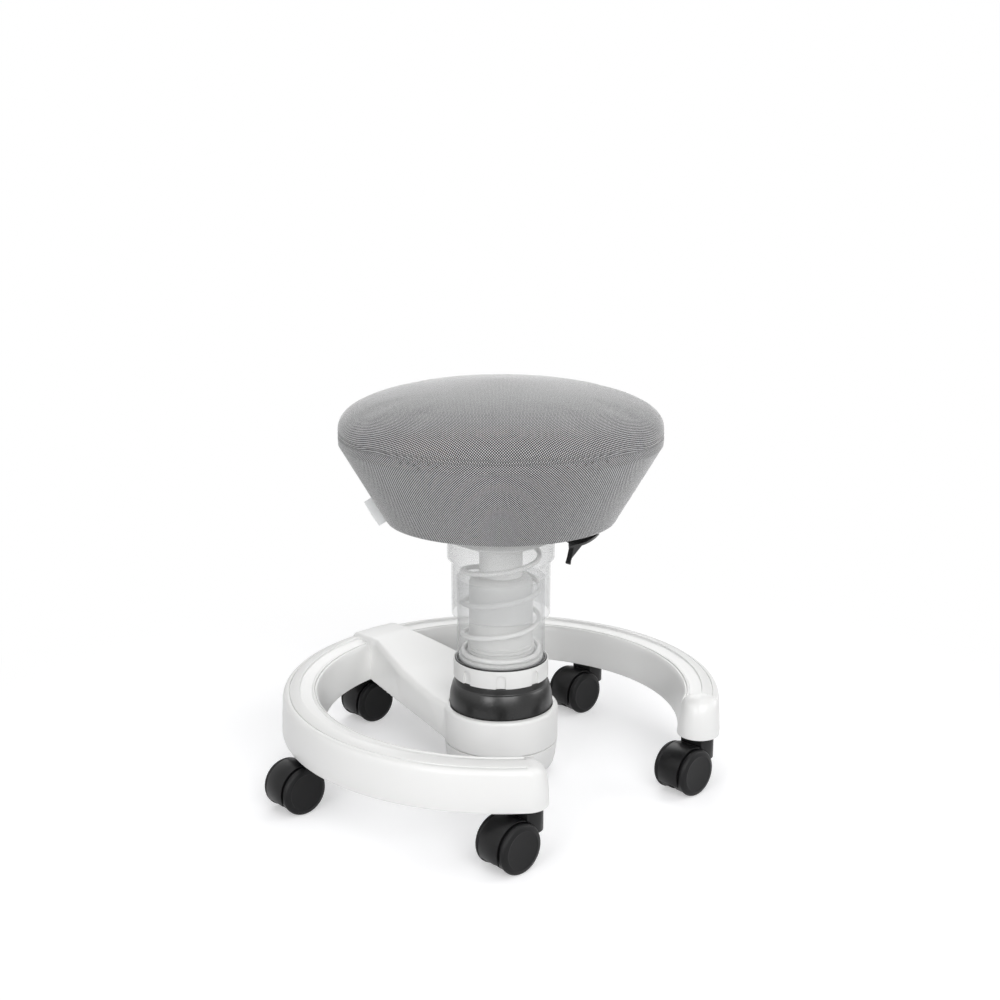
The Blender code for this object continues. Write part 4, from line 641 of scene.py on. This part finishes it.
def coil_height(turns):
    """Height of the wire's middle: a dead coil, an even climb, and a dead coil."""
    run = turns - SPRING_LIFT_OFF
    end = (SPRING_HIGH - SPRING_LOW) / SPRING_PITCH + SPRING_EASE
    if run <= 0:
        return SPRING_LOW
    if run < SPRING_EASE:
        return SPRING_LOW + SPRING_PITCH * run ** 2 / (2 * SPRING_EASE)
    if run < end - SPRING_EASE:
        return SPRING_LOW + SPRING_PITCH * (run - SPRING_EASE / 2)
    if run < end:
        return SPRING_HIGH - SPRING_PITCH * (end - run) ** 2 / (2 * SPRING_EASE)
    return SPRING_HIGH


last_turn = SPRING_LIFT_OFF + (SPRING_HIGH - SPRING_LOW) / SPRING_PITCH + SPRING_EASE + SPRING_DEAD
wire = bpy.data.curves.new("spring_wire", "CURVE")
wire.dimensions = "3D"
wire.bevel_depth = WIRE_R
wire.bevel_resolution = 5
wire.use_fill_caps = True
line = wire.splines.new("POLY")
count = round((last_turn - SPRING_FIRST) * SPRING_STEPS)
line.points.add(count)
for number in range(count + 1):
    turns = SPRING_FIRST + (last_turn - SPRING_FIRST) * number / count
    angle = SPRING_FRONT + math.tau * turns
    line.points[number].co = (SPRING_R * math.cos(angle), SPRING_R * math.sin(angle), coil_height(turns), 1)
spring = bpy.data.objects.new("spring_wire", wire)
bpy.context.scene.collection.objects.link(spring)
bpy.ops.object.select_all(action="DESELECT")
spring.select_set(True)
bpy.context.view_layer.objects.active = spring
bpy.ops.object.convert(target="MESH")
spring = bpy.context.object
bpy.ops.object.mode_set(mode="EDIT")
closed_up(spring)
softened(spring, 0.0005, 2, 60)
coated_wire = moulded("coated_wire", (0.84, 0.84, 0.83), 0.36, 0.2, 700.0, 0.00002, 0.03)
finished(spring, coated_wire, 40)
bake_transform(spring)
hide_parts("coil_spring")


# The dust tubes: two clear, faintly frosted tubes, turned thin. The lower stands on the strut; the
# upper slides down over it, and widens to a collar round the spring's top plate.
clear = bpy.data.materials.new("clear_tube")
clear.use_nodes = True
clear_shader = clear.node_tree.nodes["Principled BSDF"]
start = Wire(clear.node_tree)
place = start.add("ShaderNodeTexCoord", {}, {}, "Object")
haze = start.add("ShaderNodeTexNoise", {}, {"Vector": place, "Scale": 30.0, "Detail": 3.0})
edge_on = start.add("ShaderNodeLayerWeight", {}, {"Blend": 0.25}, "Facing")
(edge_on * edge_on * 0.50 + haze * 0.04 + 0.13).into(clear_shader, "Alpha")
# The tubes' colour turns from pale grey to dark grey where the wall is seen edge-on: painted shade along the
# tubes' edges.
edge_shaded_tint = edge_on.step(0.25, 0.9).between(rgb(0.84, 0.85, 0.85), rgb(0.40, 0.41, 0.42))
edge_shaded_tint.into(clear_shader, "Base Color")
(haze * 0.1 + 0.1).into(clear_shader, "Roughness")

TUBE_WALL = 0.0015
TUBE_STEPS = 160
lower_tube = turned("lower_clear_tube", 0.0459, 0.0459 + TUBE_WALL, 0.1148, 0.2200, TUBE_STEPS)
softened(lower_tube, 0.0004)
placed(lower_tube, clear, "column", ["lower_dust_tube"])

tube_out = [(0.0530, 0.1800), (0.0530, 0.2370), (0.0574, 0.2420), (0.0574, 0.2680)]
tube_in = [(radius - TUBE_WALL, height) for radius, height in reversed(tube_out)]
upper_tube = spun("upper_clear_tube", tube_out + tube_in, TUBE_STEPS)
softened(upper_tube, 0.0004)
placed(upper_tube, clear, "carriage", ["upper_dust_tube"])


# Castors: five swivel castors with twin wheels under a hood, all moulded in satin black. Each turns on
# a steel stem that is pressed into the ring, and trails behind it.
black_plastic = moulded("hood_plastic", (0.0050, 0.0050, 0.0054), 0.36, 0.0, 1300.0, 0.00003, 0.15, 0.22)
wheel_plastic = moulded("wheel_plastic", (0.0065, 0.0065, 0.0070), 0.42, 0.0, 1000.0, 0.00003, 0.15, 0.20)
TRAIL = 0.0225
WHEEL_R = 0.0250
HOOD_R = 0.0262
HOOD_INNER_R = 0.0248
HOOD_HALF = 0.0130
WEB_HALF = 0.0030
BOSS_HALF = 0.0140
BOSS_LOW = 0.0315
BOSS_TOP = 0.0580
axle_place = (-TRAIL, WHEEL_R)


def pulled(name, outline, low, high):
    """Fills an outline in the XZ plane and pulls it along Y from low to high."""
    piece = section(name, outline)
    bpy.ops.mesh.edge_face_add()
    bpy.ops.transform.translate(value=(0, low, 0))
    bpy.ops.mesh.extrude_region_move(TRANSFORM_OT_translate={"value": (0, high - low, 0)})
    return closed_up(piece)


guard = round_arc(axle_place, HOOD_R, 25, 206, 36) + round_arc(axle_place, HOOD_INNER_R, 206, 25, 36)
hood = pulled("castor_hood", guard, -HOOD_HALF, HOOD_HALF)
hood_middle_r = (HOOD_R + HOOD_INNER_R) / 2
web = round_arc(axle_place, hood_middle_r, 28, 203, 36) + round_arc(axle_place, 0.0075, 222, 388, 12)
plan = round_arc((0.0045, 0), BOSS_HALF, -90, 90, 18) + [(-0.0110, BOSS_HALF), (-0.0110, -BOSS_HALF)]
boss = pulled("boss", plan, BOSS_LOW, BOSS_TOP)
boss.data.transform(Matrix.Rotation(math.pi / 2, 4, "X"))
wheel_space = pulled("space", round_arc(axle_place, hood_middle_r, 0, 354, 59), -0.02, 0.02)
cut(boss, [wheel_space])
cut(hood, [pulled("web", web, -WEB_HALF, WEB_HALF), boss], "UNION")
softened(hood, 0.0007, 2, 35)

wheel_side = [(0.0033, 0.0183), (0.0033, 0.0035), (0.0238, 0.0035), (0.0238, 0.0145), (WHEEL_R, 0.0157),
              (WHEEL_R, 0.0178), (0.0236, 0.0200), (0.0192, 0.0213), (0.0184, 0.0209), (0, 0.0209),
              (0, 0.0183)]
wheel = spun("castor_wheel", wheel_side, 72, closed=False)
wheel.data.transform(Matrix.Rotation(-math.pi / 2, 4, "X"))
softened(wheel, 0.0005, 2, 20)


def copied(pattern, name, matrix):
    """A copy of a piece with its own mesh, set by a matrix."""
    piece = bpy.data.objects.new(name, pattern.data.copy())
    bpy.context.scene.collection.objects.link(piece)
    piece.data.transform(matrix)
    return piece


CASTORS = (("front_right", -54), ("right", 18), ("back", 90), ("left", 162), ("front_left", 234))
for name, degrees in CASTORS:
    turn = math.radians(degrees)
    stem = Matrix.Translation((RING_R * math.cos(turn), RING_R * math.sin(turn), 0))
    axle = stem @ Matrix.Translation((-TRAIL, 0, WHEEL_R))
    placed(copied(hood, f"{name}_hood_moulding", stem), black_plastic, f"{name}_castor", [f"{name}_hood"])
    for number in (1, 2):
        side = axle @ Matrix.Rotation(math.pi * (number - 1), 4, "Z")
        placed(copied(wheel, f"{name}_wheel_disc_{number}", side), wheel_plastic, f"{name}_wheel_{number}",
               [f"{name}_wheel_{number}"])
bpy.data.objects.remove(hood)
bpy.data.objects.remove(wheel)


# The cushion: a grey two-tone woven cover drawn tight over foam that fills a plastic pan. A round top
# panel is joined to the tapered side by a twice-stitched seam, and the hem is turned in below the pan.
CONE_LOW = (0.1222, 0.2868)
CONE_TOP = (0.1691, 0.3674)
WIDEST = (0.1694, 0.3803)
CROWN_Z = 0.4310
HEM_R = 0.1100
HEM_LOW = 0.2848
HEM_TOP = 0.2867
SEAM_LOW = 0.3763
SEAM_HIGH = 0.3804
SEAM_WIDTH = 0.0009
SEAM_BAND = 0.0012
SEAMS = ((SEAM_LOW, 0.0010), (SEAM_HIGH, 0.0008))
SEAM_PRESSED = 0.0009
SEAM_TONE = 0.28
PAN_TOP = 0.3523
PAN_FLOOR = 0.3151
PAN_GAP = 0.0084
PAN_WALL_GAP = 0.0130
SIDE_ROWS = 30
SEAM_ROWS = 22
CROWN_ROWS = 46
COVER_STEPS = 256
PAD_INSET = 0.0020
PAD_VOXEL = 0.005
PAD_PRESSURE = 4.0
PAD_MOMENTS = 20
PAD_SWELL = 0.0016
PAD_NEIGHBOURS = 12
WEAVE = 0.00272
cone_slope = (CONE_TOP[0] - CONE_LOW[0]) / (CONE_TOP[1] - CONE_LOW[1])


def cone_radius(height):
    """Radius of the cover's tapered side at a height."""
    return CONE_LOW[0] + cone_slope * (height - CONE_LOW[1])


def crown_outline(inset, steps):
    """The top panel's outline, from the seam's widest place to the middle."""
    spots = []
    for step in range(1, steps + 1):
        turn = math.radians(90 * step / steps)
        spots.append(((WIDEST[0] - inset) * math.cos(turn) ** 1.478,
                      WIDEST[1] + (CROWN_Z - inset - WIDEST[1]) * math.sin(turn) ** 0.681))
    spots[-1] = (0, CROWN_Z - inset)
    return spots


def side_outline(inset, rows):
    """The side panel's outline, from the hem's turn up to the cone's top."""
    spots = []
    for row in range(rows + 1):
        height = CONE_LOW[1] + (CONE_TOP[1] - CONE_LOW[1]) * row / rows
        spots.append((cone_radius(height) - inset, height))
    return spots


def seam_outline(inset, rows):
    """The upright band that holds the seam, between cone and crown, in a gentle curve."""
    spots = []
    for row in range(1, rows + 1):
        share = row / rows
        height = CONE_TOP[1] + (WIDEST[1] + 0.0022 - CONE_TOP[1]) * share
        spots.append((min(WIDEST[0], CONE_TOP[0] + 0.0005 * math.sin(share * math.pi / 2)) - inset, height))
    return spots


# The foam is first swelled as a pad inside a held hem and seam, and the cover then follows its swelling.
outer = side_outline(0, SIDE_ROWS) + seam_outline(0, SEAM_ROWS)
outer += [spot for spot in crown_outline(0, CROWN_ROWS) if spot[1] > outer[-1][1] + 0.0006]
hem = [(HEM_R, HEM_TOP), (HEM_R - 0.0001, 0.2857), (HEM_R + 0.0004, HEM_LOW), (0.1150, HEM_LOW),
       (0.1195, HEM_LOW), (0.1212, 0.2853)]
over_pan = [(0, PAN_FLOOR), (cone_radius(PAN_FLOOR) - PAN_WALL_GAP, PAN_FLOOR),
            (cone_radius(PAN_TOP) - PAN_WALL_GAP, PAN_TOP), (cone_radius(PAN_TOP) - PAN_GAP, PAN_TOP),
            (cone_radius(HEM_TOP) - PAN_GAP, HEM_TOP)]
cover = spun("seat_cushion", over_pan + hem + outer, COVER_STEPS, closed=False)
flat_places = [vert.co.copy() for vert in cover.data.vertices]
pad_outline = [(0, PAN_FLOOR), (HEM_R, PAN_FLOOR), (HEM_R, HEM_LOW + PAD_INSET)]
pad_outline += side_outline(PAD_INSET, 12) + seam_outline(PAD_INSET, 3) + crown_outline(PAD_INSET, 24)[2:]
pad = spun("pad", pad_outline, 96, closed=False)
modified(pad, "REMESH", mode="VOXEL", voxel_size=PAD_VOXEL)
held = pad.vertex_groups.new(name="held")
pad_places = [vert.co.copy() for vert in pad.data.vertices]
for number, co in enumerate(pad_places):
    at_hem = co.z < CONE_LOW[1] + 0.004
    at_seam = SEAM_LOW - 0.002 < co.z < SEAM_HIGH + 0.002
    over_the_pan = co.xy.length < 0.10 and co.z < PAN_TOP
    if at_hem or at_seam or over_the_pan:
        held.add([number], 1.0, "REPLACE")
stuffing = pad.modifiers.new("stuffing", "CLOTH")
stuffing.settings.use_pressure = True
stuffing.settings.uniform_pressure_force = PAD_PRESSURE
stuffing.settings.vertex_group_mass = "held"
stuffing.settings.effector_weights.gravity = 0.0
for moment in range(1, PAD_MOMENTS + 1):
    bpy.context.scene.frame_set(moment)
bpy.context.view_layer.objects.active = pad
bpy.ops.object.modifier_apply(modifier="stuffing")
bpy.context.scene.frame_set(1)
swell = [vert.co - co for vert, co in zip(pad.data.vertices, pad_places)]
gain = PAD_SWELL / max(moved.length for moved in swell)
near = KDTree(len(pad_places))
for number, co in enumerate(pad_places):
    near.insert(co, number)
near.balance()
for vert, co in zip(cover.data.vertices, flat_places):
    outside = co.xy.length > cone_radius(co.z) - 0.002 or co.z > PAN_TOP + 0.001
    if co.z > CONE_LOW[1] + 0.002 and outside:
        moved = Vector()
        total = 0.0
        for _, number, distance in near.find_n(co, PAD_NEIGHBOURS):
            weight = 1 / (distance + PAD_INSET)
            moved += swell[number] * weight
            total += weight
        vert.co = co + moved * (gain / total)
bpy.data.objects.remove(pad)
for vert, flat in zip(cover.data.vertices, flat_places):
    if flat.xy.length > WIDEST[0] - 0.004:
        dent = sum(depth * math.exp(-((flat.z - seam) / SEAM_WIDTH) ** 2) for seam, depth in SEAMS)
        vert.co.xy *= 1 - dent / flat.xy.length

# The weave follows each panel: round the side its columns draw together downwards, and over the top it
# runs straight across.
columns_round = round(math.tau * WIDEST[0] / WEAVE)
weave_map = cover.data.uv_layers.new(name="weave")
crown_arc = [(0.0, 0.0)]
profile = list(reversed(crown_outline(0, CROWN_ROWS))) + [WIDEST, (WIDEST[0], SEAM_LOW)]
for one, two in zip(profile, profile[1:]):
    crown_arc.append((two[0], crown_arc[-1][1] + math.dist(one, two)))


def crown_reach(radius, height):
    """Length along the cloth from the middle of the top panel."""
    if radius >= WIDEST[0] - SEAM_BAND:
        return crown_arc[-2][1] + WIDEST[1] - height
    for one, two in zip(crown_arc, crown_arc[1:]):
        if radius <= two[0]:
            return one[1] + (two[1] - one[1]) * (radius - one[0]) / max(two[0] - one[0], TINY)
    return crown_arc[-1][1]


for face in cover.data.polygons:
    places = [flat_places[number] for number in face.vertices]
    middle_height = sum(place.z for place in places) / len(places)
    angles = [math.atan2(place.y, place.x) for place in places]
    if max(angles) - min(angles) > math.pi:
        angles = [angle + math.tau if angle < 0 else angle for angle in angles]
    for corner, place, angle in zip(face.loop_indices, places, angles):
        if middle_height > SEAM_LOW:
            reach = crown_reach(place.xy.length, place.z) / WEAVE
            turn = angle - CAMERA_TURN
            weave_map.data[corner].uv = (reach * math.cos(turn), reach * math.sin(turn))
        else:
            slant = (place.z - CONE_LOW[1]) * math.hypot(1, cone_slope)
            weave_map.data[corner].uv = (angle / math.tau * columns_round, slant / WEAVE)

fabric = bpy.data.materials.new("seat_fabric")
fabric.use_nodes = True
fabric_shader = fabric.node_tree.nodes["Principled BSDF"]
start = Wire(fabric.node_tree)
place = start.add("ShaderNodeTexCoord", {}, {}, "Object")
weave_place = start.add("ShaderNodeUVMap", {"uv_map": "weave"}, {})
across = start.add("ShaderNodeSeparateXYZ", {}, {0: weave_place}, "X")
along = start.add("ShaderNodeSeparateXYZ", {}, {0: weave_place}, "Y")
over = start.maths("SINE", across * math.tau) * start.maths("SINE", along * math.tau)
yarn = start.add("ShaderNodeTexNoise", {}, {"Vector": place, "Scale": 650.0, "Detail": 2.0})
worn = start.add("ShaderNodeTexNoise", {}, {"Vector": place, "Scale": 9.0, "Detail": 3.0})
height_up = start.add("ShaderNodeSeparateXYZ", {}, {0: place}, "Z")
pressed = [1 - start.maths("ABSOLUTE", height_up - seam).step(SEAM_PRESSED * 0.5, SEAM_PRESSED)
           for seam, _ in SEAMS]
in_seam = pressed[0].most(pressed[1]) * 0.8
light_yarn = (over + (yarn - 0.5) * 0.12).step(0.04, 0.36) * (1 - in_seam) + in_seam * SEAM_TONE
dark = worn.between(rgb(0.014, 0.014, 0.015), rgb(0.020, 0.020, 0.021))
light = worn.between(rgb(0.58, 0.58, 0.585), rgb(0.64, 0.64, 0.645))
light_yarn.between(dark, light).into(fabric_shader, "Base Color")
(0.95 - light_yarn * 0.15).into(fabric_shader, "Roughness")
raised = start.add("ShaderNodeBump", {},
                   {"Strength": 0.6, "Distance": 0.0004, "Height": light_yarn + yarn * 0.2})
raised.into(fabric_shader, "Normal")
fabric_shader.inputs["Specular IOR Level"].default_value = 0.25
fabric_shader.inputs["Sheen Weight"].default_value = 0.90
fabric_shader.inputs["Sheen Roughness"].default_value = 0.4
placed(cover, fabric, "seat", ["seat_cover", "seat_foam"], smooth=60)

# The stitches: one short dark thread, repeated round both rows of the seam.
STITCHES = 340
STITCH_HALF = 0.0015
STITCH_R = 0.00060
thread = moulded("stitch_thread", (0.15, 0.15, 0.152), 0.8, 0.0, 3000.0, 0.00005, 0.2)
for name, (height, depth) in zip(("seam_stitches_low", "seam_stitches_high"), SEAMS):
    cloth_r = WIDEST[0] - depth
    bpy.ops.object.select_all(action="DESELECT")
    bpy.ops.mesh.primitive_cylinder_add(vertices=6, radius=STITCH_R, depth=2 * STITCH_HALF,
                                        location=(cloth_r + STITCH_R * 0.6, 0, height),
                                        rotation=(math.pi / 2, 0, 0))
    stitch = bpy.context.object
    stitch.name = name
    bpy.ops.object.transform_apply()
    bpy.ops.object.mode_set(mode="EDIT")
    for end in (1, -1):
        pick(stitch, lambda co: co.y * end > 0)
        bpy.ops.transform.resize(value=(0.5, 1, 0.5), center_override=(cloth_r, end * STITCH_HALF, height))
        bpy.ops.transform.translate(value=(-STITCH_R, 0, 0))
    bpy.ops.object.mode_set(mode="OBJECT")
    pivot = bpy.data.objects.new("pivot", None)
    bpy.context.scene.collection.objects.link(pivot)
    pivot.rotation_euler.z = math.tau / STITCHES
    modified(stitch, "ARRAY", count=STITCHES, use_relative_offset=False, use_object_offset=True,
             offset_object=pivot)
    bpy.data.objects.remove(pivot)
    placed(stitch, thread, "seat", [])


# The tag: a bare woven ribbon folded in two and sewn into the side of the cover, standing square to it.
TAG_TURN = 151.3
TAG_LOW = 0.2872
TAG_LONG = 0.0302
TAG_WIDE = 0.0088
TAG_ROOT = 0.0012
TAG_HALF = 0.00045
TAG_SLIT = 0.00010
TAG_STEPS = 12
tag_cloth = moulded("tag_cloth", (0.80, 0.81, 0.81), 0.8, 0.0, 1800.0, 0.00008, 0.05)
fold = round_arc((TAG_WIDE - TAG_HALF, 0), TAG_HALF, 90, -90, 6)
slit_end = TAG_WIDE - 2 * TAG_HALF
ribbon = [(-TAG_ROOT, TAG_HALF)] + fold + [(-TAG_ROOT, -TAG_HALF), (-TAG_ROOT, -TAG_SLIT),
                                           (slit_end, -TAG_SLIT), (slit_end, TAG_SLIT), (-TAG_ROOT, TAG_SLIT)]
sections = []
for step in range(TAG_STEPS + 1):
    share = step / TAG_STEPS
    sway = 0.00035 * math.sin(share * 5.5 + 0.6)
    bulge = 1 + 0.04 * math.sin(share * math.pi)
    sections.append((TAG_LONG * share, [(x * bulge, z + sway * max(x, 0) / TAG_WIDE) for x, z in ribbon]))
tag = drawn_through("cover_ribbon", sections)
tilt = math.atan(cone_slope)
tag.data.transform(Matrix(((math.cos(tilt), math.sin(tilt), 0, cone_radius(TAG_LOW)), (0, 0, -1, 0),
                           (-math.sin(tilt), math.cos(tilt), 0, TAG_LOW), (0, 0, 0, 1))))
tag.data.transform(Matrix.Rotation(math.radians(TAG_TURN), 4, "Z"))
placed(tag, tag_cloth, "seat", ["cover_tag"], smooth=40)


# The height lever: one black moulding. A flat tip lies over the valve, a cranked bar runs out below the
# pan, and a curved paddle with a fin for the fingers hangs under the cushion's rim.
LEVER_HALF = 0.0045
LEVER_SIDE = ((0.0030, 0.3081), (-0.0210, 0.3081), (-0.0375, 0.3030), (-0.0425, 0.3030), (-0.0692, 0.2903),
              (-0.0985, 0.2824), (-0.1060, 0.2806), (-0.1150, 0.2790), (-0.1150, 0.2775), (-0.1060, 0.2780),
              (-0.0985, 0.2798), (-0.0692, 0.2853),
              (-0.0425, 0.2980), (-0.0375, 0.2980), (-0.0210, 0.3041), (-0.0116, 0.3061), (0.0030, 0.3061))
PADDLE_LOW = 0.2760
PADDLE_TOP = 0.2795
PADDLE_LIP = 0.0022
# Each row: degrees about the column, inner and outer radius.
PADDLE = ((-96.6, 0.1158, 0.1187), (-95.5, 0.1128, 0.1187), (-94.0, 0.1092, 0.1187), (-91.5, 0.1040, 0.1187),
          (-89.0, 0.0999, 0.1186), (-86.0, 0.0986, 0.1182), (-82.0, 0.0982, 0.1165), (-78.0, 0.0980, 0.1147),
          (-73.5, 0.0978, 0.1130), (-69.0, 0.0978, 0.1113), (-66.0, 0.0990, 0.1105), (-64.0, 0.1020, 0.1090))
FIN = ((-0.0068, 0.2793), (-0.0125, 0.2665), (-0.0155, 0.2618), (-0.0154, 0.2606), (-0.0147, 0.2602),
       (-0.0139, 0.2608), (-0.0130, 0.2640), (-0.0117, 0.2664), (0.0033, 0.2764), (0.0056, 0.2790))
FIN_FRONT = -0.1170
FIN_BACK = -0.1100
FIN_SHOULDER = 0.2775
FIN_TIP = 0.2602
lever = pulled("height_lever", LEVER_SIDE, -LEVER_HALF, LEVER_HALF)
lever.data.transform(Matrix.Rotation(math.pi / 2, 4, "Z"))
paddle = drawn_through("paddle", [(math.radians(degrees), [
    (inner, PADDLE_LOW), (reach - PADDLE_LIP, PADDLE_LOW), (reach, PADDLE_LOW + PADDLE_LIP * 0.5),
    (reach, PADDLE_TOP), (inner, PADDLE_TOP)]) for degrees, inner, reach in PADDLE])
for vert in paddle.data.vertices:
    vert.co.x, vert.co.y = vert.co.x * math.cos(vert.co.y), vert.co.x * math.sin(vert.co.y)
fin = pulled("fin", FIN, FIN_FRONT, FIN_BACK)
for vert in fin.data.vertices:
    down = max(0.0, (FIN_SHOULDER - vert.co.z) / (FIN_SHOULDER - FIN_TIP))
    vert.co.y -= 0.0018 * down if vert.co.y < -0.115 else 0.0030 * down
cut(lever, [paddle, fin], "UNION")
softened(lever, 0.0005, 3, 25)
lever_plastic = moulded("lever_plastic", (0.012, 0.012, 0.0125), 0.34, 0.0, 900.0, 0.00003, 0.15, 0.5)
placed(lever, lever_plastic, "lever", ["lever"])


# The pieces that the frame brings, and that stay as they are, get the finishes of the real ones: plated
# steel for screws, stems, axles, plate, rod and pins, black plastic for the pan and the bush, and rubber.
steel = bpy.data.materials.new("plated_steel")
steel.use_nodes = True
steel_shader = steel.node_tree.nodes["Principled BSDF"]
start = Wire(steel.node_tree)
place = start.add("ShaderNodeTexCoord", {}, {}, "Object")
blotch = start.add("ShaderNodeTexNoise", {}, {"Vector": place, "Scale": 60.0, "Detail": 5.0})
blotch.between(rgb(0.50, 0.51, 0.52), rgb(0.62, 0.63, 0.65)).into(steel_shader, "Base Color")
(blotch * 0.25 + 0.22).into(steel_shader, "Roughness")
steel_shader.inputs["Metallic"].default_value = 1.0
pan_plastic = moulded("pan_plastic", (0.035, 0.035, 0.036), 0.5, 0.0, 800.0, 0.00004, 0.2)
finishes = {"steel": steel, "chromed_tube": steel, "pan_plastic": pan_plastic, "black_plastic": pan_plastic,
            "black_rubber": rubber}
slots = {entry["node"]: entry["material_slot"] for entry in frame["record"]["subparts"]}
for node, solid in frame["nodes"].items():
    if slots[node] in finishes:
        solid.data.materials.clear()
        solid.data.materials.append(finishes[slots[node]])
